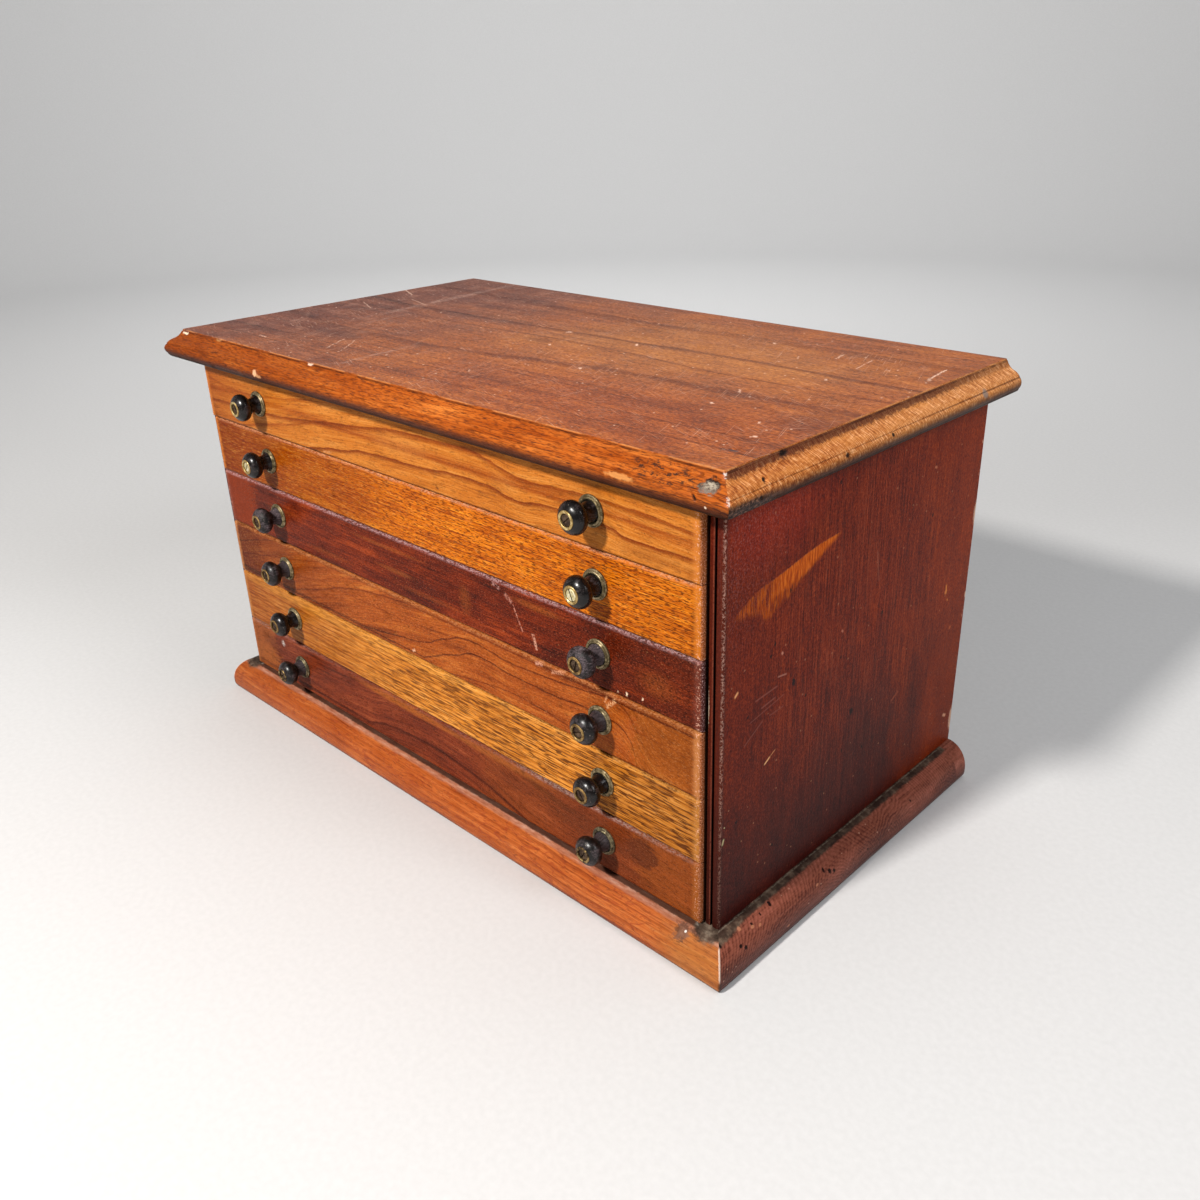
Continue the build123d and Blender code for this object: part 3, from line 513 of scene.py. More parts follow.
         pores=0.45, pore_col=C("280e06"), top_wear_and_highlight=(C("a48c84"), 0.7), grit=0.35, glint=0.22, glint_col=C("b87850"),
         top_where=[(-300, 0.7), (-210, 0.5), (-100, 0.2), (80, 0.3), (170, 1.0), (240, 0.8), (300, 0.4)],
         end=0.45, end_col=C("a05c24"), grime=0.35),
]


def end_rings(g, u, v, cu, cv, squash, pitch, seed):
    """Curved growth rings, as they show on a board's end."""
    a = g.sub(u, cu)
    c = g.sub(v, cv)
    rad = g.f("SQRT", g.add(g.mul(a, a, squash), g.mul(c, c)))
    wob = g.noise(g.vec(g.mul(u, 1 / 14), g.mul(v, 1 / 14), seed), 2.0)
    rings = g.f("FRACT", g.add(g.mul(rad, 1 / pitch), g.mul(wob, 2.4), 50.0))
    return g.mul(g.ss(rings, 0.25, 0.7), g.ss(rings, 0.85, 1.0, 1.0, 0.0))


def top_material():
    """The top board: dulled varnish on the flat, brighter on the moulded front, end
    grain on the moulded sides."""
    g = Graph("top_wood_aged")
    x, y, z = g.x, g.y, g.z
    arris_y, arris_x = CY - 11.5, 313 + 8.5
    r = grain(g, x, y, z, 21.0, wander=5.0, wander_len=200.0, ring=11.0, ring_jitter=1.0, pore_len=4.5,
              pore_w=1.1, pore_lo=0.53, pore_hi=0.64)
    val = tone(g, r, 0.5, 0.14, 0.15, 0.26, 0.04)
    grit = g.noise(g.sc(g.P, (1 / 3.2, 1 / 1.5, 1 / 2.0)), 3.0, 0.72)
    val = g.f("MULTIPLY_ADD", g.sub(grit, 0.5), 1.25, val)
    flat = g.ramp(val, ramp4("64300f", "8c4820", "a45a28", "c07438"))
    # hazy and pinkish to the left and the back, golden in the middle of the right
    haze = g.noise(g.sc(g.P, (1 / 120, 1 / 60, 1 / 100), (4, 0, 0)), 4.0, 0.62)
    hz = g.sub(haze, 0.5)
    left = g.ss(g.add(x, g.mul(hz, 420.0), g.mul(y, -0.35)), -330.0, 60.0, 1.0, 0.0)
    lcol = g.ramp(val, ramp4("40221f", "5c3630", "70453c", "8c6458"))
    flat = g.mix(g.mul(left, 0.85), flat, lcol)
    gold = g.blob(x, y, 110, 45, 150, 85, 0.8, g.mul(hz, 2.6))
    flat = g.mix(g.mul(gold, 0.45), flat, g.ramp(val, ramp4("8c5428", "ac6c34", "bc7c40", "cc9050")))
    red = g.mul(g.blob(x, y, 190, -110, 170, 70, 0.8, g.mul(hz, 2.2)), 0.45)
    flat = g.mix(red, flat, g.ramp(val, ramp4("541c08", "7c300e", "943f16", "b05828")))
    for pts, below, above, tint, amount in (
            ([(-325, 50), (-200, 42), (-60, 48), (30, 50), (120, 56)], 9.0, 2.0, C("7a4034"), 0.6),
            ([(-325, 130), (-150, 122), (0, 118), (100, 124), (325, 130)], 16.0, 10.0, C("8a5444"), 0.45),
            ([(-325, -50), (-160, -66), (-60, -60), (120, -30), (325, -20)], 14.0, 5.0, C("8a5444"), 0.5),
            ([(-325, -115), (0, -112), (325, -110)], 1.4, 1.2, C("6c3828"), 0.6),
            ([(-325, -136), (0, -139), (325, -134)], 2.0, 1.0, C("744030"), 0.6),
            ([(-325, -80), (-100, -92), (120, -84), (325, -88)], 1.6, 1.0, C("744030"), 0.45),
            ([(-120, 14), (40, 20), (180, 12), (325, 20)], 4.0, 1.2, C("8c5038"), 0.5)):
        m = g.band(x, y, pts, below, above, g.mul(hz, 12.0))
        flat = g.mix(g.mul(m, amount), flat, tint, "MULTIPLY")
    for cx, cy, w, ln, amount in ((-240, 95, 5.0, 120, 0.28), (-86, -110, 3.5, 40, 0.26), (-205, -30, 3.0, 30, 0.2)):
        m = g.mul(g.blob(g.add(x, g.mul(g.sub(y, cy), 0.10)), y, cx, cy, w, ln, 0.5, g.mul(hz, 1.0)),
                  g.ss(g.noise(g.sc(g.P, (1 / 2.5, 1 / 12, 0.0)), 3.0, 0.7), 0.40, 0.58))
        flat = g.mix(g.mul(m, amount), flat, C("c8a898"))
    for cx, cy, rx, ry in ((28, 92, 17, 9), (-17, 6, 12, 8), (92, -26, 5, 11), (66, -106, 30, 5), (305, -50, 20, 22),
                           (-200, -90, 40, 16)):
        m = g.blob(x, y, cx, cy, rx, ry, 0.6, g.mul(hz, 2.0))
        flat = g.mix(g.mul(m, 0.35), flat, C("54281c"))
    dash = g.ss(g.noise(g.sc(g.P, (1 / 9, 1 / 1.0, 1 / 3.0), (0, 2, 5)), 2.0, 0.6), 0.56, 0.66)
    near_front = g.ss(g.add(y, g.mul(hz, 90.0)), -150.0, 60.0, 1.0, 0.25)
    flat = g.mix(g.mul(dash, near_front, 0.55), flat, C("3c180e"))
    flat = g.mix(g.mul(r["pores"], 0.42), flat, C("442010"))
    # rubbed haze in small clouds, pale scratches in several directions, dots
    cloud = g.ss(g.noise(g.sc(g.P, (1 / 26, 1 / 20, 1 / 20)), 5.0, 0.72), 0.5, 0.70)
    flat = g.mix(g.mul(cloud, g.add(0.10, g.mul(left, 0.25))), flat, C("b89080"))
    for k, (deg, sl, sw, lo) in enumerate(((24, 34, 0.8, 0.66), (-38, 26, 0.7, 0.67), (68, 44, 0.8, 0.67), (96, 60, 0.7, 0.675))):
        v = g.sc(g.turn(g.P, deg), (1 / sl, 1 / sw, 0.0), (k * 9.0, 0, k))
        here = g.ss(g.noise(g.sc(g.P, (1 / 70, 1 / 70, 0.0), (k * 4.0, k, 0)), 1.0), 0.44, 0.58)
        m = g.mul(g.ss(g.noise(v, 1.0), lo, lo + 0.05), here)
        flat = g.mix(g.mul(m, 0.38), flat, C("dcb49c"))
    dots = g.ss(g.cells(g.sc(g.P, (1 / 13, 1 / 13, 0.0))), 0.05, 0.085, 1.0, 0.0)
    flat = g.mix(g.mul(dots, 0.6), flat, C("e8c8b0"))
    darkdots = g.ss(g.cells(g.sc(g.P, (1 / 9, 1 / 9, 0.0), (5, 2, 0))), 0.06, 0.11, 1.0, 0.0)
    flat = g.mix(g.mul(darkdots, 0.8), flat, C("2c120a"))
    uv = g.vec(g.add(x, g.mul(g.sub(g.noise(g.sc(g.P, (1 / 9, 1 / 9, 0.0)), 2.0), 0.5), 5.0)), y, 0.0)
    broken = g.ss(g.noise(g.sc(g.P, (1 / 2.6, 1 / 2.6, 0.0), (3, 1, 0)), 2.0, 0.6), 0.38, 0.52)
    for a, b, wd, amount in (((-24, 48), (-20, 43), 5.5, 1.0), ((58, 48), (64, 40), 2.8, 0.9), ((146, 122), (150, 117), 2.6, 0.9),
                             ((303, 125), (307, 92), 2.0, 1.0), ((306, 95), (310, 84), 3.0, 0.6), ((248, 46), (252, 40), 2.4, 0.9),
                             ((-325, 92), (-290, 76), 1.6, 0.8), ((-2, 3), (5, -3), 2.0, 0.8), ((80, -41), (85, -46), 2.8, 1.0),
                             ((217, -17), (223, -26), 2.0, 0.9), ((222, -56), (227, -60), 2.8, 1.0), ((277, -73), (281, -79), 2.0, 1.0),
                             ((-238, -134), (-222, -135), 2.0, 0.7), ((17, -99), (22, -106), 2.0, 0.8), ((293, -100), (296, -104), 3.2, 1.0),
                             ((-80, -107), (-76, -112), 2.0, 0.8), ((190, 95), (196, 84), 1.6, 0.7), ((216, 120), (219, 102), 1.8, 0.7),
                             ((244, 118), (249, 84), 1.6, 0.7), ((-298, 20), (-262, 4), 1.6, 0.5), ((-270, 60), (-230, 48), 1.6, 0.5),
                             ((-160, -95), (-140, -128), 1.6, 0.5), ((-150, -90), (-120, -126), 1.2, 0.4)):
        flat = g.mix(g.mul(g.stroke(uv, a, b, wd * 0.8), broken, amount * 0.9), flat, C("e8c4ac"))
    # a shallow dark dent near the right front corner
    flat = g.mix(g.mul(g.blob(x, y, 301.5, -132.0, 3.4, 1.8, 0.4), 0.85), flat, C("3c3c40"))
    # the moulded front: brighter, orange, with long dark pores
    q = g.add(z, g.mul(y, 0.7))
    rf = grain(g, x, q, g.sub(z, y), 33.0, wander=1.2, ring=6.0, ring_jitter=0.9, pore_len=7.0,
               pore_w=1.1, pore_lo=0.50, pore_hi=0.60)
    vf = tone(g, rf, 0.54, 0.16, 0.16, 0.22, 0.05)
    fr = g.ramp(vf, ramp4("783008", "984610", "ac581c", "c8742f"))
    fr = g.mix(g.mul(g.ss(g.add(x, g.mul(hz, 200.0)), -330.0, 60.0, 1.0, 0.0), 0.60), fr, C("6c2c08"))
    fr = g.mix(g.mul(rf["pores"], 0.55), fr, C("541f08"))
    dashes = g.ss(g.noise(g.vec(g.mul(x, 1 / 12), g.mul(q, 1 / 1.2), 3.0), 2.0, 0.6), 0.58, 0.66)
    fr = g.mix(g.mul(dashes, 0.78), fr, C("3a1a16"))
    blotch = g.ss(g.noise(g.sc(g.P, (1 / 30, 1 / 6, 1 / 6), (9, 0, 0)), 4.0, 0.65), 0.52, 0.68)
    fr = g.mix(g.mul(blotch, 0.35), fr, C("7c4428"), "MULTIPLY")
    # the moulded sides
    rings = end_rings(g, y, z, CY + 42.0, 352.0, 1.0, 4.6, 1.0)
    hatch = g.noise(g.vec(g.mul(g.add(y, g.mul(z, 0.35)), 1 / 0.9), g.mul(z, 1 / 5.0), 0.0), 2.0, 0.6)
    cross = g.noise(g.vec(g.mul(y, 1 / 6.0), g.mul(g.add(z, g.mul(y, -0.12)), 1 / 0.8), 4.0), 2.0, 0.6)
    frontish = g.ss(y, CY + 30, CY + 110, 1.0, 0.25)
    ev = g.add(0.52, g.mul(rings, frontish, -0.20), g.mul(g.sub(hatch, 0.5), 2.3), g.mul(g.sub(cross, 0.5), 0.8))
    en = g.ramp(ev, ramp4("7c3c18", "ac6430", "c07c44", "e0a878", 0.15, 0.9))
    en = g.mix(g.mul(g.ss(y, CY + 60, CY + 200), 0.45), en, g.ramp(ev, ramp4("94582c", "c08048", "d0945c", "ecb88c", 0.15, 0.9)))
    en = g.mix(g.mul(g.ss(g.noise(g.sc(g.P, (0.1, 1 / 40, 1 / 9)), 3.0), 0.45, 0.7), 0.35), en, C("cc8440"))
    # which of the three looks where: on the mitre the nearer overhang wins
    jag = g.mul(g.sub(g.noise(g.sc(g.P, (1 / 4, 1 / 4, 1 / 4)), 3.0, 0.65), 0.5), 1.2)
    ax = g.f("ABSOLUTE", x)
    fx = g.sub(ax, arris_x)
    fy = g.sub(arris_y, y)
    on_side = g.ss(g.add(fx, jag), -0.35, 0.35)
    side_wins = g.ss(g.sub(fx, fy), -0.3, 0.3)
    on_front = g.ss(g.add(fy, g.mul(jag, 0.6)), -0.35, 0.35)
    col = g.mix(on_front, flat, fr)
    col = g.mix(g.mul(on_side, side_wins), col, en)
    down = g.sub(TOPZ, z)
    edge = g.maxi(fx, fy)
    crumbs = g.noise(g.sc(g.P, (1 / 2.4, 1 / 2.4, 1 / 1.8)), 3.0, 0.7)
    # a dark ragged stain under the arris of the sides
    stain = g.mul(g.ss(g.add(down, g.mul(g.sub(crumbs, 0.5), 7.0)), 4.2, 6.4, 1.0, 0.0), g.ss(down, 0.5, 1.2), side_wins,
                  g.ss(y, 60.0, 175.0, 1.0, 0.45), g.ss(edge, -0.2, 0.2))
    col = g.mix(g.mul(stain, 0.80), col, C("4c241c"))
    # a rubbed arris, in broken stretches, with a dark line under it
    run = g.ss(g.noise(g.sc(g.P, (1 / 22, 1 / 22, 0.0), (7, 7, 0)), 3.0, 0.7), 0.42, 0.56)
    arris = g.mul(g.ss(g.f("ABSOLUTE", g.add(edge, g.mul(jag, 0.5), -0.1)), 0.35, 1.1, 1.0, 0.0), g.ss(down, 0.4, 1.0, 1.0, 0.0), run)
    col = g.mix(g.mul(arris, 0.42), col, C("d09058"))
    quirk = g.mul(g.ss(g.f("ABSOLUTE", g.add(down, -1.6, g.mul(jag, 0.4))), 0.3, 0.9, 1.0, 0.0), g.ss(edge, -0.1, 0.2),
                  g.add(0.35, g.mul(run, 0.65)))
    col = g.mix(g.mul(quirk, 0.7), col, C("34140a"))
    line = g.ss(g.f("ABSOLUTE", g.add(down, -12.8, g.mul(jag, 0.5))), 0.25, 0.9, 1.0, 0.0)
    col = g.mix(g.mul(line, g.add(0.12, g.mul(side_wins, g.ss(y, 0.0, 120.0), 0.45))), col, C("5c2c14"))
    # painted shade on the lower, downward-turning part of the nose
    low = g.ss(g.add(down, g.mul(jag, 2.6)), 14.0, 20.5)
    col = g.mix(g.mul(low, g.add(0.84, g.mul(side_wins, 0.08))), col, C("30140c"))
    # painted shadow, near black, on the underside of the nose
    under = g.ss(g.add(down, g.mul(jag, 1.0)), 20.5, 23.5)
    col = g.mix(g.mul(under, 0.85), col, C("140a06"))
    # pits, dents and worn spots on the moulding, in x and depth below the top
    front_only = g.mul(on_front, g.inv(side_wins))
    pit_n = g.noise(g.vec(g.mul(x, 1 / 5.5), g.mul(down, 1 / 1.8), 5.0), 3.0, 0.7)
    pits = g.ss(pit_n, 0.53, 0.60)
    pit_here = g.mul(pits, g.blob(x, down, 281, 8.2, 30, 5.5, 0.4), front_only)
    col = g.mix(g.mul(pit_here, 0.85), col, C("30221c"))
    for cu, cd, ru, rd, tint, amount in (
            (251, 15.3, 12.0, 1.6, C("c8884c"), 0.75), (318.6, 19, 0.8, 0.8, C("e0c8b0"), 0.8),
            (-313, 2.2, 5, 1.7, C("f0dcc0"), 0.9), (-173, 16.8, 2.6, 2.8, C("e0b088"), 0.8), (-168, 18.5, 5.0, 1.4, C("d09868"), 0.6),
            (-104, 0.8, 4, 1.4, C("e8c8b0"), 0.85), (-252, 1.0, 5, 1.2, C("d09858"), 0.5),
            (60, 17, 14, 1.4, C("28100a"), 0.4)):
        m = g.mul(g.blob(x, down, cu, cd, ru, rd, 0.35, g.mul(jag, 1.3)), front_only)
        col = g.mix(g.mul(m, amount), col, tint)
    # the dent near the right end and the slit beside it
    dent = g.mul(g.blob(x, down, 316.6, 8.4, 7.0, 3.4, 0.2, g.mul(jag, 1.7)), front_only)
    dcol = g.ramp(g.add(g.mul(g.sub(down, 5.0), 0.14), g.mul(g.sub(crumbs, 0.5), 0.8)), [(0.15, C("15100e")), (0.5, C("38302c")), (0.85, C("786e64"))])
    pale = g.mul(g.blob(x, down, 316.0, 8.6, 4.6, 1.5, 0.6, g.mul(jag, 1.2)), g.ss(crumbs, 0.36, 0.56))
    dcol = g.mix(g.mul(pale, 0.75), dcol, C("b4a894"))
    col = g.mix(g.mul(dent, 0.95), col, dcol)
    uvd = g.vec(x, down, 0.0)
    slit = g.mul(g.stroke(uvd, (307.5, 13.2), (312.0, 16.6), 1.7), front_only)
    col = g.mix(slit, col, C("1c1210"))
    holes = g.maxi(g.blob(y, down, CY + 13, 10.0, 1.5, 1.3, 0.3), g.blob(y, down, CY + 4.5, 17.6, 1.3, 1.3, 0.3),
                   g.blob(y, down, CY + 96, 15.0, 2.0, 1.5, 0.4), g.blob(y, down, CY + 43, 2.6, 4.0, 1.8, 0.4),
                   g.blob(y, down, CY + 150, 14.4, 1.5, 1.2, 0.3))
    col = g.mix(g.mul(holes, on_side, side_wins, 0.95), col, C("1c1614"))
    grey = g.mul(g.blob(y, down, CY + 281, 14.0, 3.5, 3.0, 0.4, g.mul(jag, 0.6)), on_side)
    col = g.mix(g.mul(grey, 0.8), col, C("7c7470"))
    corner = g.mul(g.ss(g.add(g.f("ABSOLUTE", g.sub(fx, fy)), g.mul(jag, 0.9)), 0.4, 1.9, 1.0, 0.0), g.ss(edge, -0.4, 0.3),
                   g.maxi(g.ss(down, 3.4, 4.6, 1.0, 0.0), g.mul(g.ss(down, 10.5, 11.5), g.ss(down, 15.5, 17.0, 1.0, 0.0))),
                   g.ss(crumbs, 0.44, 0.56))
    col = g.mix(g.mul(corner, 0.75), col, C("e4d8d0"))
    # dirt under the nose beside the front right corner
    dirt = g.mul(g.ss(g.add(down, g.mul(jag, 2.5)), 14.0, 17.5), g.ss(g.add(y, g.mul(jag, 12.0)), CY + 2, CY + 34, 1.0, 0.0), on_side, side_wins)
    col = g.mix(g.mul(dirt, 0.85), col, g.ramp(crumbs, [(0.38, C("120e0e")), (0.52, C("38302e")), (0.64, C("86604c"))]))
    # back edge: rough sawn and darker
    back = g.ss(y, CB + 4.2, CB + 4.8)
    col = g.mix(g.mul(back, 0.75), col, C("5c3420"))
    below = g.ss(down, 24.7, 24.95)
    col = g.mix(g.mul(below, 0.8), col, C("4c2c18"))
    h = g.add(g.mul(r["pores"], -0.4), g.mul(r["fine"], 0.25), g.mul(rf["pores"], g.mul(on_front, -0.5)), g.mul(dots, -0.3),
              g.mul(darkdots, -0.4), g.mul(cloud, 0.2), g.mul(dashes, g.mul(on_front, -0.6)), g.mul(holes, on_side, -2.0),
              g.mul(pit_here, -1.2), g.mul(slit, -2.0))
    nrm = g.bump(h, 0.2, 0.8)
    nrm = g.bump(g.noise(g.sc(g.P, (1 / 3.0, 1 / 3.0, 1 / 3.0)), 3.0, 0.6), 0.12, 0.6, nrm)
    rough = g.ss(g.add(g.mul(r["blot"], 0.5), g.mul(cloud, 0.4), g.mul(left, 0.2)), 0.1, 0.9, 0.36, 0.62)
    return g.done(col, rough, nrm, spec=0.07)


def case_material():
    """The side panels: dark red mahogany with upright grain, worn at the front edge."""
    g = Graph("case_wood_aged")
    x, y, z = g.x, g.y, g.z
    yy = g.sub(y, CY)
    r = grain(g, z, y, x, 41.0, wander=5.0, wander_len=240.0, ring=9.0, ring_jitter=1.0, pore_len=5.0,
              pore_w=1.0, pore_lo=0.53, pore_hi=0.66)
    craze = g.noise(g.sc(g.P, (1 / 1.3, 1 / 1.3, 1 / 1.5)), 3.0, 0.75)
    fine_mid = g.blob(yy, z, 170, 220, 130, 170, 0.5)
    val = tone(g, r, 0.5, 0.06, 0.07, 0.14, 0.02)
    speckle = g.noise(g.sc(g.P, (1 / 1.6, 1 / 1.3, 1 / 1.9)), 3.0, 0.75)
    val = g.f("MULTIPLY_ADD", g.sub(speckle, 0.5), 1.5, val)
    hair = g.noise(g.vec(0.0, g.mul(y, 1 / 1.7), g.mul(z, 1 / 46)), 3.0, 0.7)
    val = g.f("MULTIPLY_ADD", g.mul(g.sub(hair, 0.5), fine_mid), 1.5, val)
    col = g.ramp(val, ramp4("401008", "601a0a", "76260e", "903818"))
    # browner near the back, and painted shade darkening the panel towards the foot
    foot = g.ss(g.add(z, g.mul(g.sub(r["blot"], 0.5), 110.0), g.mul(yy, -0.10)), 30.0, 225.0, 1.0, 0.0)
    col = g.mix(g.mul(foot, 0.88), col, g.ramp(val, ramp4("200808", "2a0c0c", "341110", "461a16")))
    backw = g.ss(g.add(yy, g.mul(g.sub(r["blot"], 0.5), 120.0)), 190.0, 330.0)
    col = g.mix(g.mul(backw, 0.60), col, g.ramp(val, ramp4("5c1806", "7c2808", "90340c", "a44414")))
    col = g.mix(g.mul(r["pores"], 0.18), col, C("280c08"))
    # painted sheen: a brighter red patch near the top front of the panel
    red = g.mul(g.blob(yy, z, 40, 335, 50, 26, 0.8, g.mul(g.sub(r["blot"], 0.5), 1.4)), 0.55)
    col = g.mix(red, col, g.ramp(val, ramp4("6c180c", "8c2414", "9c2c18", "b04028")))
    right = g.ss(x, 300.0, 312.9)
    # the scrape through the varnish, with upright dark strokes left in it
    up = g.curve(yy, [(8, 274.5), (20, 280.5), (36, 286.5), (60, 290.0), (88, 295.0), (110, 297.5), (131, 298.5)])
    lo = g.curve(yy, [(8, 273), (30, 271.0), (40, 266), (47, 262), (55, 266), (69, 270), (84, 278), (110, 289.5), (131, 297.6)])
    n1 = g.mul(g.sub(g.noise(g.vec(0.0, g.mul(y, 1 / 2.2), g.mul(z, 1 / 14)), 3.0, 0.7), 0.5), 9.0)
    inside = g.mul(g.ss(g.sub(z, g.add(lo, g.mul(n1, 0.8))), -2.6, 3.0), g.ss(g.sub(z, g.add(up, g.mul(n1, 0.3))), -1.0, 0.4, 1.0, 0.0),
                   g.ss(yy, 8.0, 20.0), g.ss(yy, 122.0, 131.0, 1.0, 0.0), right)
    bars = g.noise(g.vec(0.0, g.mul(y, 1 / 1.5), g.mul(z, 1 / 16)), 3.0, 0.72)
    core = g.mul(g.ss(yy, 44.0, 66.0), g.ss(g.sub(up, z), 10.0, 17.0, 1.0, 0.0))
    keep = g.ss(g.add(bars, g.mul(core, 0.16)), 0.40, 0.56)
    scrape = g.mul(inside, keep)
    sc_n = g.noise(g.vec(0.0, g.mul(y, 1 / 1.6), g.mul(z, 1 / 12)), 3.0, 0.65)
    sc_col = g.ramp(sc_n, [(0.34, C("8c3408")), (0.48, C("b85010")), (0.62, C("d46c20"))])
    col = g.mix(g.mul(scrape, g.add(0.66, g.mul(core, 0.30))), col, sc_col)
    # pale scratches and chips, dark worm holes: (along the panel, height)
    uv = g.vec(yy, z, 0.0)
    marks = (((48, 147.5), (56, 152), 1.3, C("e0a874"), 1.0), ((55, 151.5), (62, 155), 0.8, C("c88858"), 0.8), ((12.5, 216.8), (17.5, 220.8), 1.9, C("e09c68"), 1.0),
             ((293, 192), (299, 195), 2.6, C("b8602c"), 0.8), ((296, 200.5), (297, 190), 1.5, C("d88840"), 0.9), ((300, 186), (301, 183), 1.3, C("d88840"), 0.8),
             ((220, 122), (232, 128), 2.0, C("90442c"), 0.7), ((316, 66), (323, 62), 2.6, C("c89070"), 0.9),
             ((309, 156), (313, 153.5), 3.0, C("a8542c"), 0.9), ((255, 312), (260, 310.5), 1.8, C("b87050"), 0.8),
             ((64, 231), (66, 228), 1.8, C("c88870"), 0.8), ((138, 219), (141, 216), 1.6, C("b87058"), 0.8),
             ((2.6, 104.0), (4.8, 110.4), 1.5, C("d8cc98"), 0.9), ((4.6, 118.2), (5.4, 119.4), 1.2, C("d8cc98"), 0.8), ((35, 204.5), (62, 206), 1.2, C("84483c"), 0.7),
             ((42, 196), (60, 198), 1.2, C("84483c"), 0.7), ((52, 186), (70, 186.5), 1.0, C("7c4034"), 0.7),
             ((60, 213), (72, 211), 1.2, C("a87060"), 0.7), ((24, 174), (46, 186), 1.2, C("7c4438"), 0.6),
             ((30, 190), (70, 196), 1.0, C("84483c"), 0.5), ((180, 268), (186, 240), 1.4, C("8c4a38"), 0.5))
    for a, b, wd, tint, amount in marks:
        col = g.mix(g.mul(g.stroke(uv, a, b, wd), amount, right), col, tint)
    chips = g.mul(g.ss(yy, 330.5, 332.0), g.ss(g.noise(g.sc(g.P, (0.3, 0.3, 1 / 7)), 3.0, 0.7), 0.62, 0.67))
    chips = g.maxi(chips, g.mul(g.blob(yy, z, 333.5, 252, 2.6, 9.0, 0.3, g.mul(g.sub(craze, 0.5), 2.0)), 1.0), g.mul(g.blob(yy, z, 333, 54, 3.2, 11.0, 0.3, g.mul(g.sub(craze, 0.5), 2.0)), 1.0),
                   g.blob(yy, z, 333.5, 178, 1.8, 3, 0.3))
    col = g.mix(g.mul(chips, right, 0.85), col, C("c8a088"))
    for cu, cv, rr in ((80, 200.5, 2.0), (160, 141, 2.2), (194.5, 212, 1.2), (56, 240, 1.1), (125, 335, 1.2),
                       (18, 116, 1.1), (71.5, 274, 1.1), (62, 72, 1.0), (260, 272, 1.2), (180, 99, 1.0), (52, 232, 0.9),
                       (96, 183, 1.2), (140, 196, 1.0), (150, 110, 1.1), (28, 196, 0.9)):
        m = g.mul(g.blob(yy, z, cu, cv, rr, rr * 1.35, 0.3, g.mul(g.sub(speckle, 0.5), 2.4)), right)
        col = g.mix(g.mul(m, 0.9), col, C("0e0a0c"))
    # lighter upright streaks in the middle
    st = g.mul(g.ss(g.noise(g.vec(0.0, g.mul(y, 1 / 3.4), g.mul(z, 1 / 60)), 3.0, 0.6), 0.52, 0.66),
               g.blob(yy, z, 150, 230, 80, 110, 0.7))
    col = g.mix(g.mul(st, 0.22), col, C("94482c"))
    dots = g.ss(g.cells(g.sc(g.P, (0.0, 1 / 12, 1 / 12))), 0.05, 0.08, 1.0, 0.0)
    col = g.mix(g.mul(dots, 0.45), col, C("b07858"))
    # front edge: pale crazed specks on the corner bead, black sunk line
    ax = g.f("ABSOLUTE", x)
    near = g.mul(g.ss(g.add(yy, g.mul(g.sub(z, 356.0), -0.75)), 30.0, 150.0, 1.0, 0.0), g.ss(ax, 305.5, 306.2))
    cm = g.mul(g.ss(craze, 0.52, 0.64), near, g.ss(z, 150.0, 340.0, 0.25, 1.0))
    col = g.mix(g.mul(cm, 0.42), col, C("946864"))
    pit = g.mul(g.ss(craze, 0.44, 0.32), near, g.ss(z, 150.0, 340.0, 0.25, 1.0))
    col = g.mix(g.mul(pit, 0.55), col, C("2c0c0c"))
    bead = g.mul(g.ss(yy, 0.6, 3.4, 1.0, 0.0), g.ss(ax, 311.2, 312.4), g.ss(craze, 0.46, 0.58), g.ss(z, 60.0, 200.0, 0.4, 1.0))
    col = g.mix(g.mul(g.ss(yy, 1.0, 7.0, 1.0, 0.0), 0.50), col, C("2c120c"))
    col = g.mix(g.mul(bead, 0.6), col, C("c09888"))
    col = g.mix(g.mul(g.ss(yy, 0.4, 1.2, 1.0, 0.0), 0.35), col, C("2c100a"))
    groove = g.mul(g.ss(g.f("ABSOLUTE", g.sub(ax, 306.2)), 0.5, 0.95, 1.0, 0.0), g.ss(yy, 3.0, 3.4, 1.0, 0.0))
    col = g.mix(g.mul(groove, 0.97), col, C("050303"))
    lit = g.mul(g.ss(g.f("ABSOLUTE", g.sub(ax, 305.0)), 0.2, 0.6, 1.0, 0.0), g.ss(yy, 0.5, 0.9, 1.0, 0.0),
                g.ss(craze, 0.36, 0.50))
    col = g.mix(g.mul(lit, 0.30), col, C("a05840"))
    chipped = g.mul(g.ss(yy, 0.5, 2.5, 1.0, 0.0), g.blob(ax, z, 301.7, 212.0, 0.9, 13.0, 0.4, g.mul(g.sub(craze, 0.5), 3.0)), g.ss(x, 0.0, 1.0))
    col = g.mix(g.mul(chipped, 0.6), col, C("b8a890"))
    inner = g.ss(ax, 301.6, 301.9, 1.0, 0.0)
    col = g.mix(g.mul(inner, 0.85), col, C("5c3820"))
    h = g.add(g.mul(r["pores"], -0.2), g.mul(speckle, 0.8), g.mul(scrape, -0.8), g.mul(craze, g.mul(near, 0.8)), g.mul(dots, -0.3))
    nrm = g.bump(h, 0.16, 0.8)
    nrm = g.bump(g.noise(g.sc(g.P, (1 / 2.2, 1 / 2.2, 1 / 2.2)), 2.0), 0.09, 0.5, nrm)
    rough = g.ss(g.add(g.mul(r["blot"], 0.55), g.mul(scrape, 0.5), g.mul(cm, 0.3)), 0.15, 1.0, 0.30, 0.6)
    return g.done(col, rough, nrm, spec=0.045)


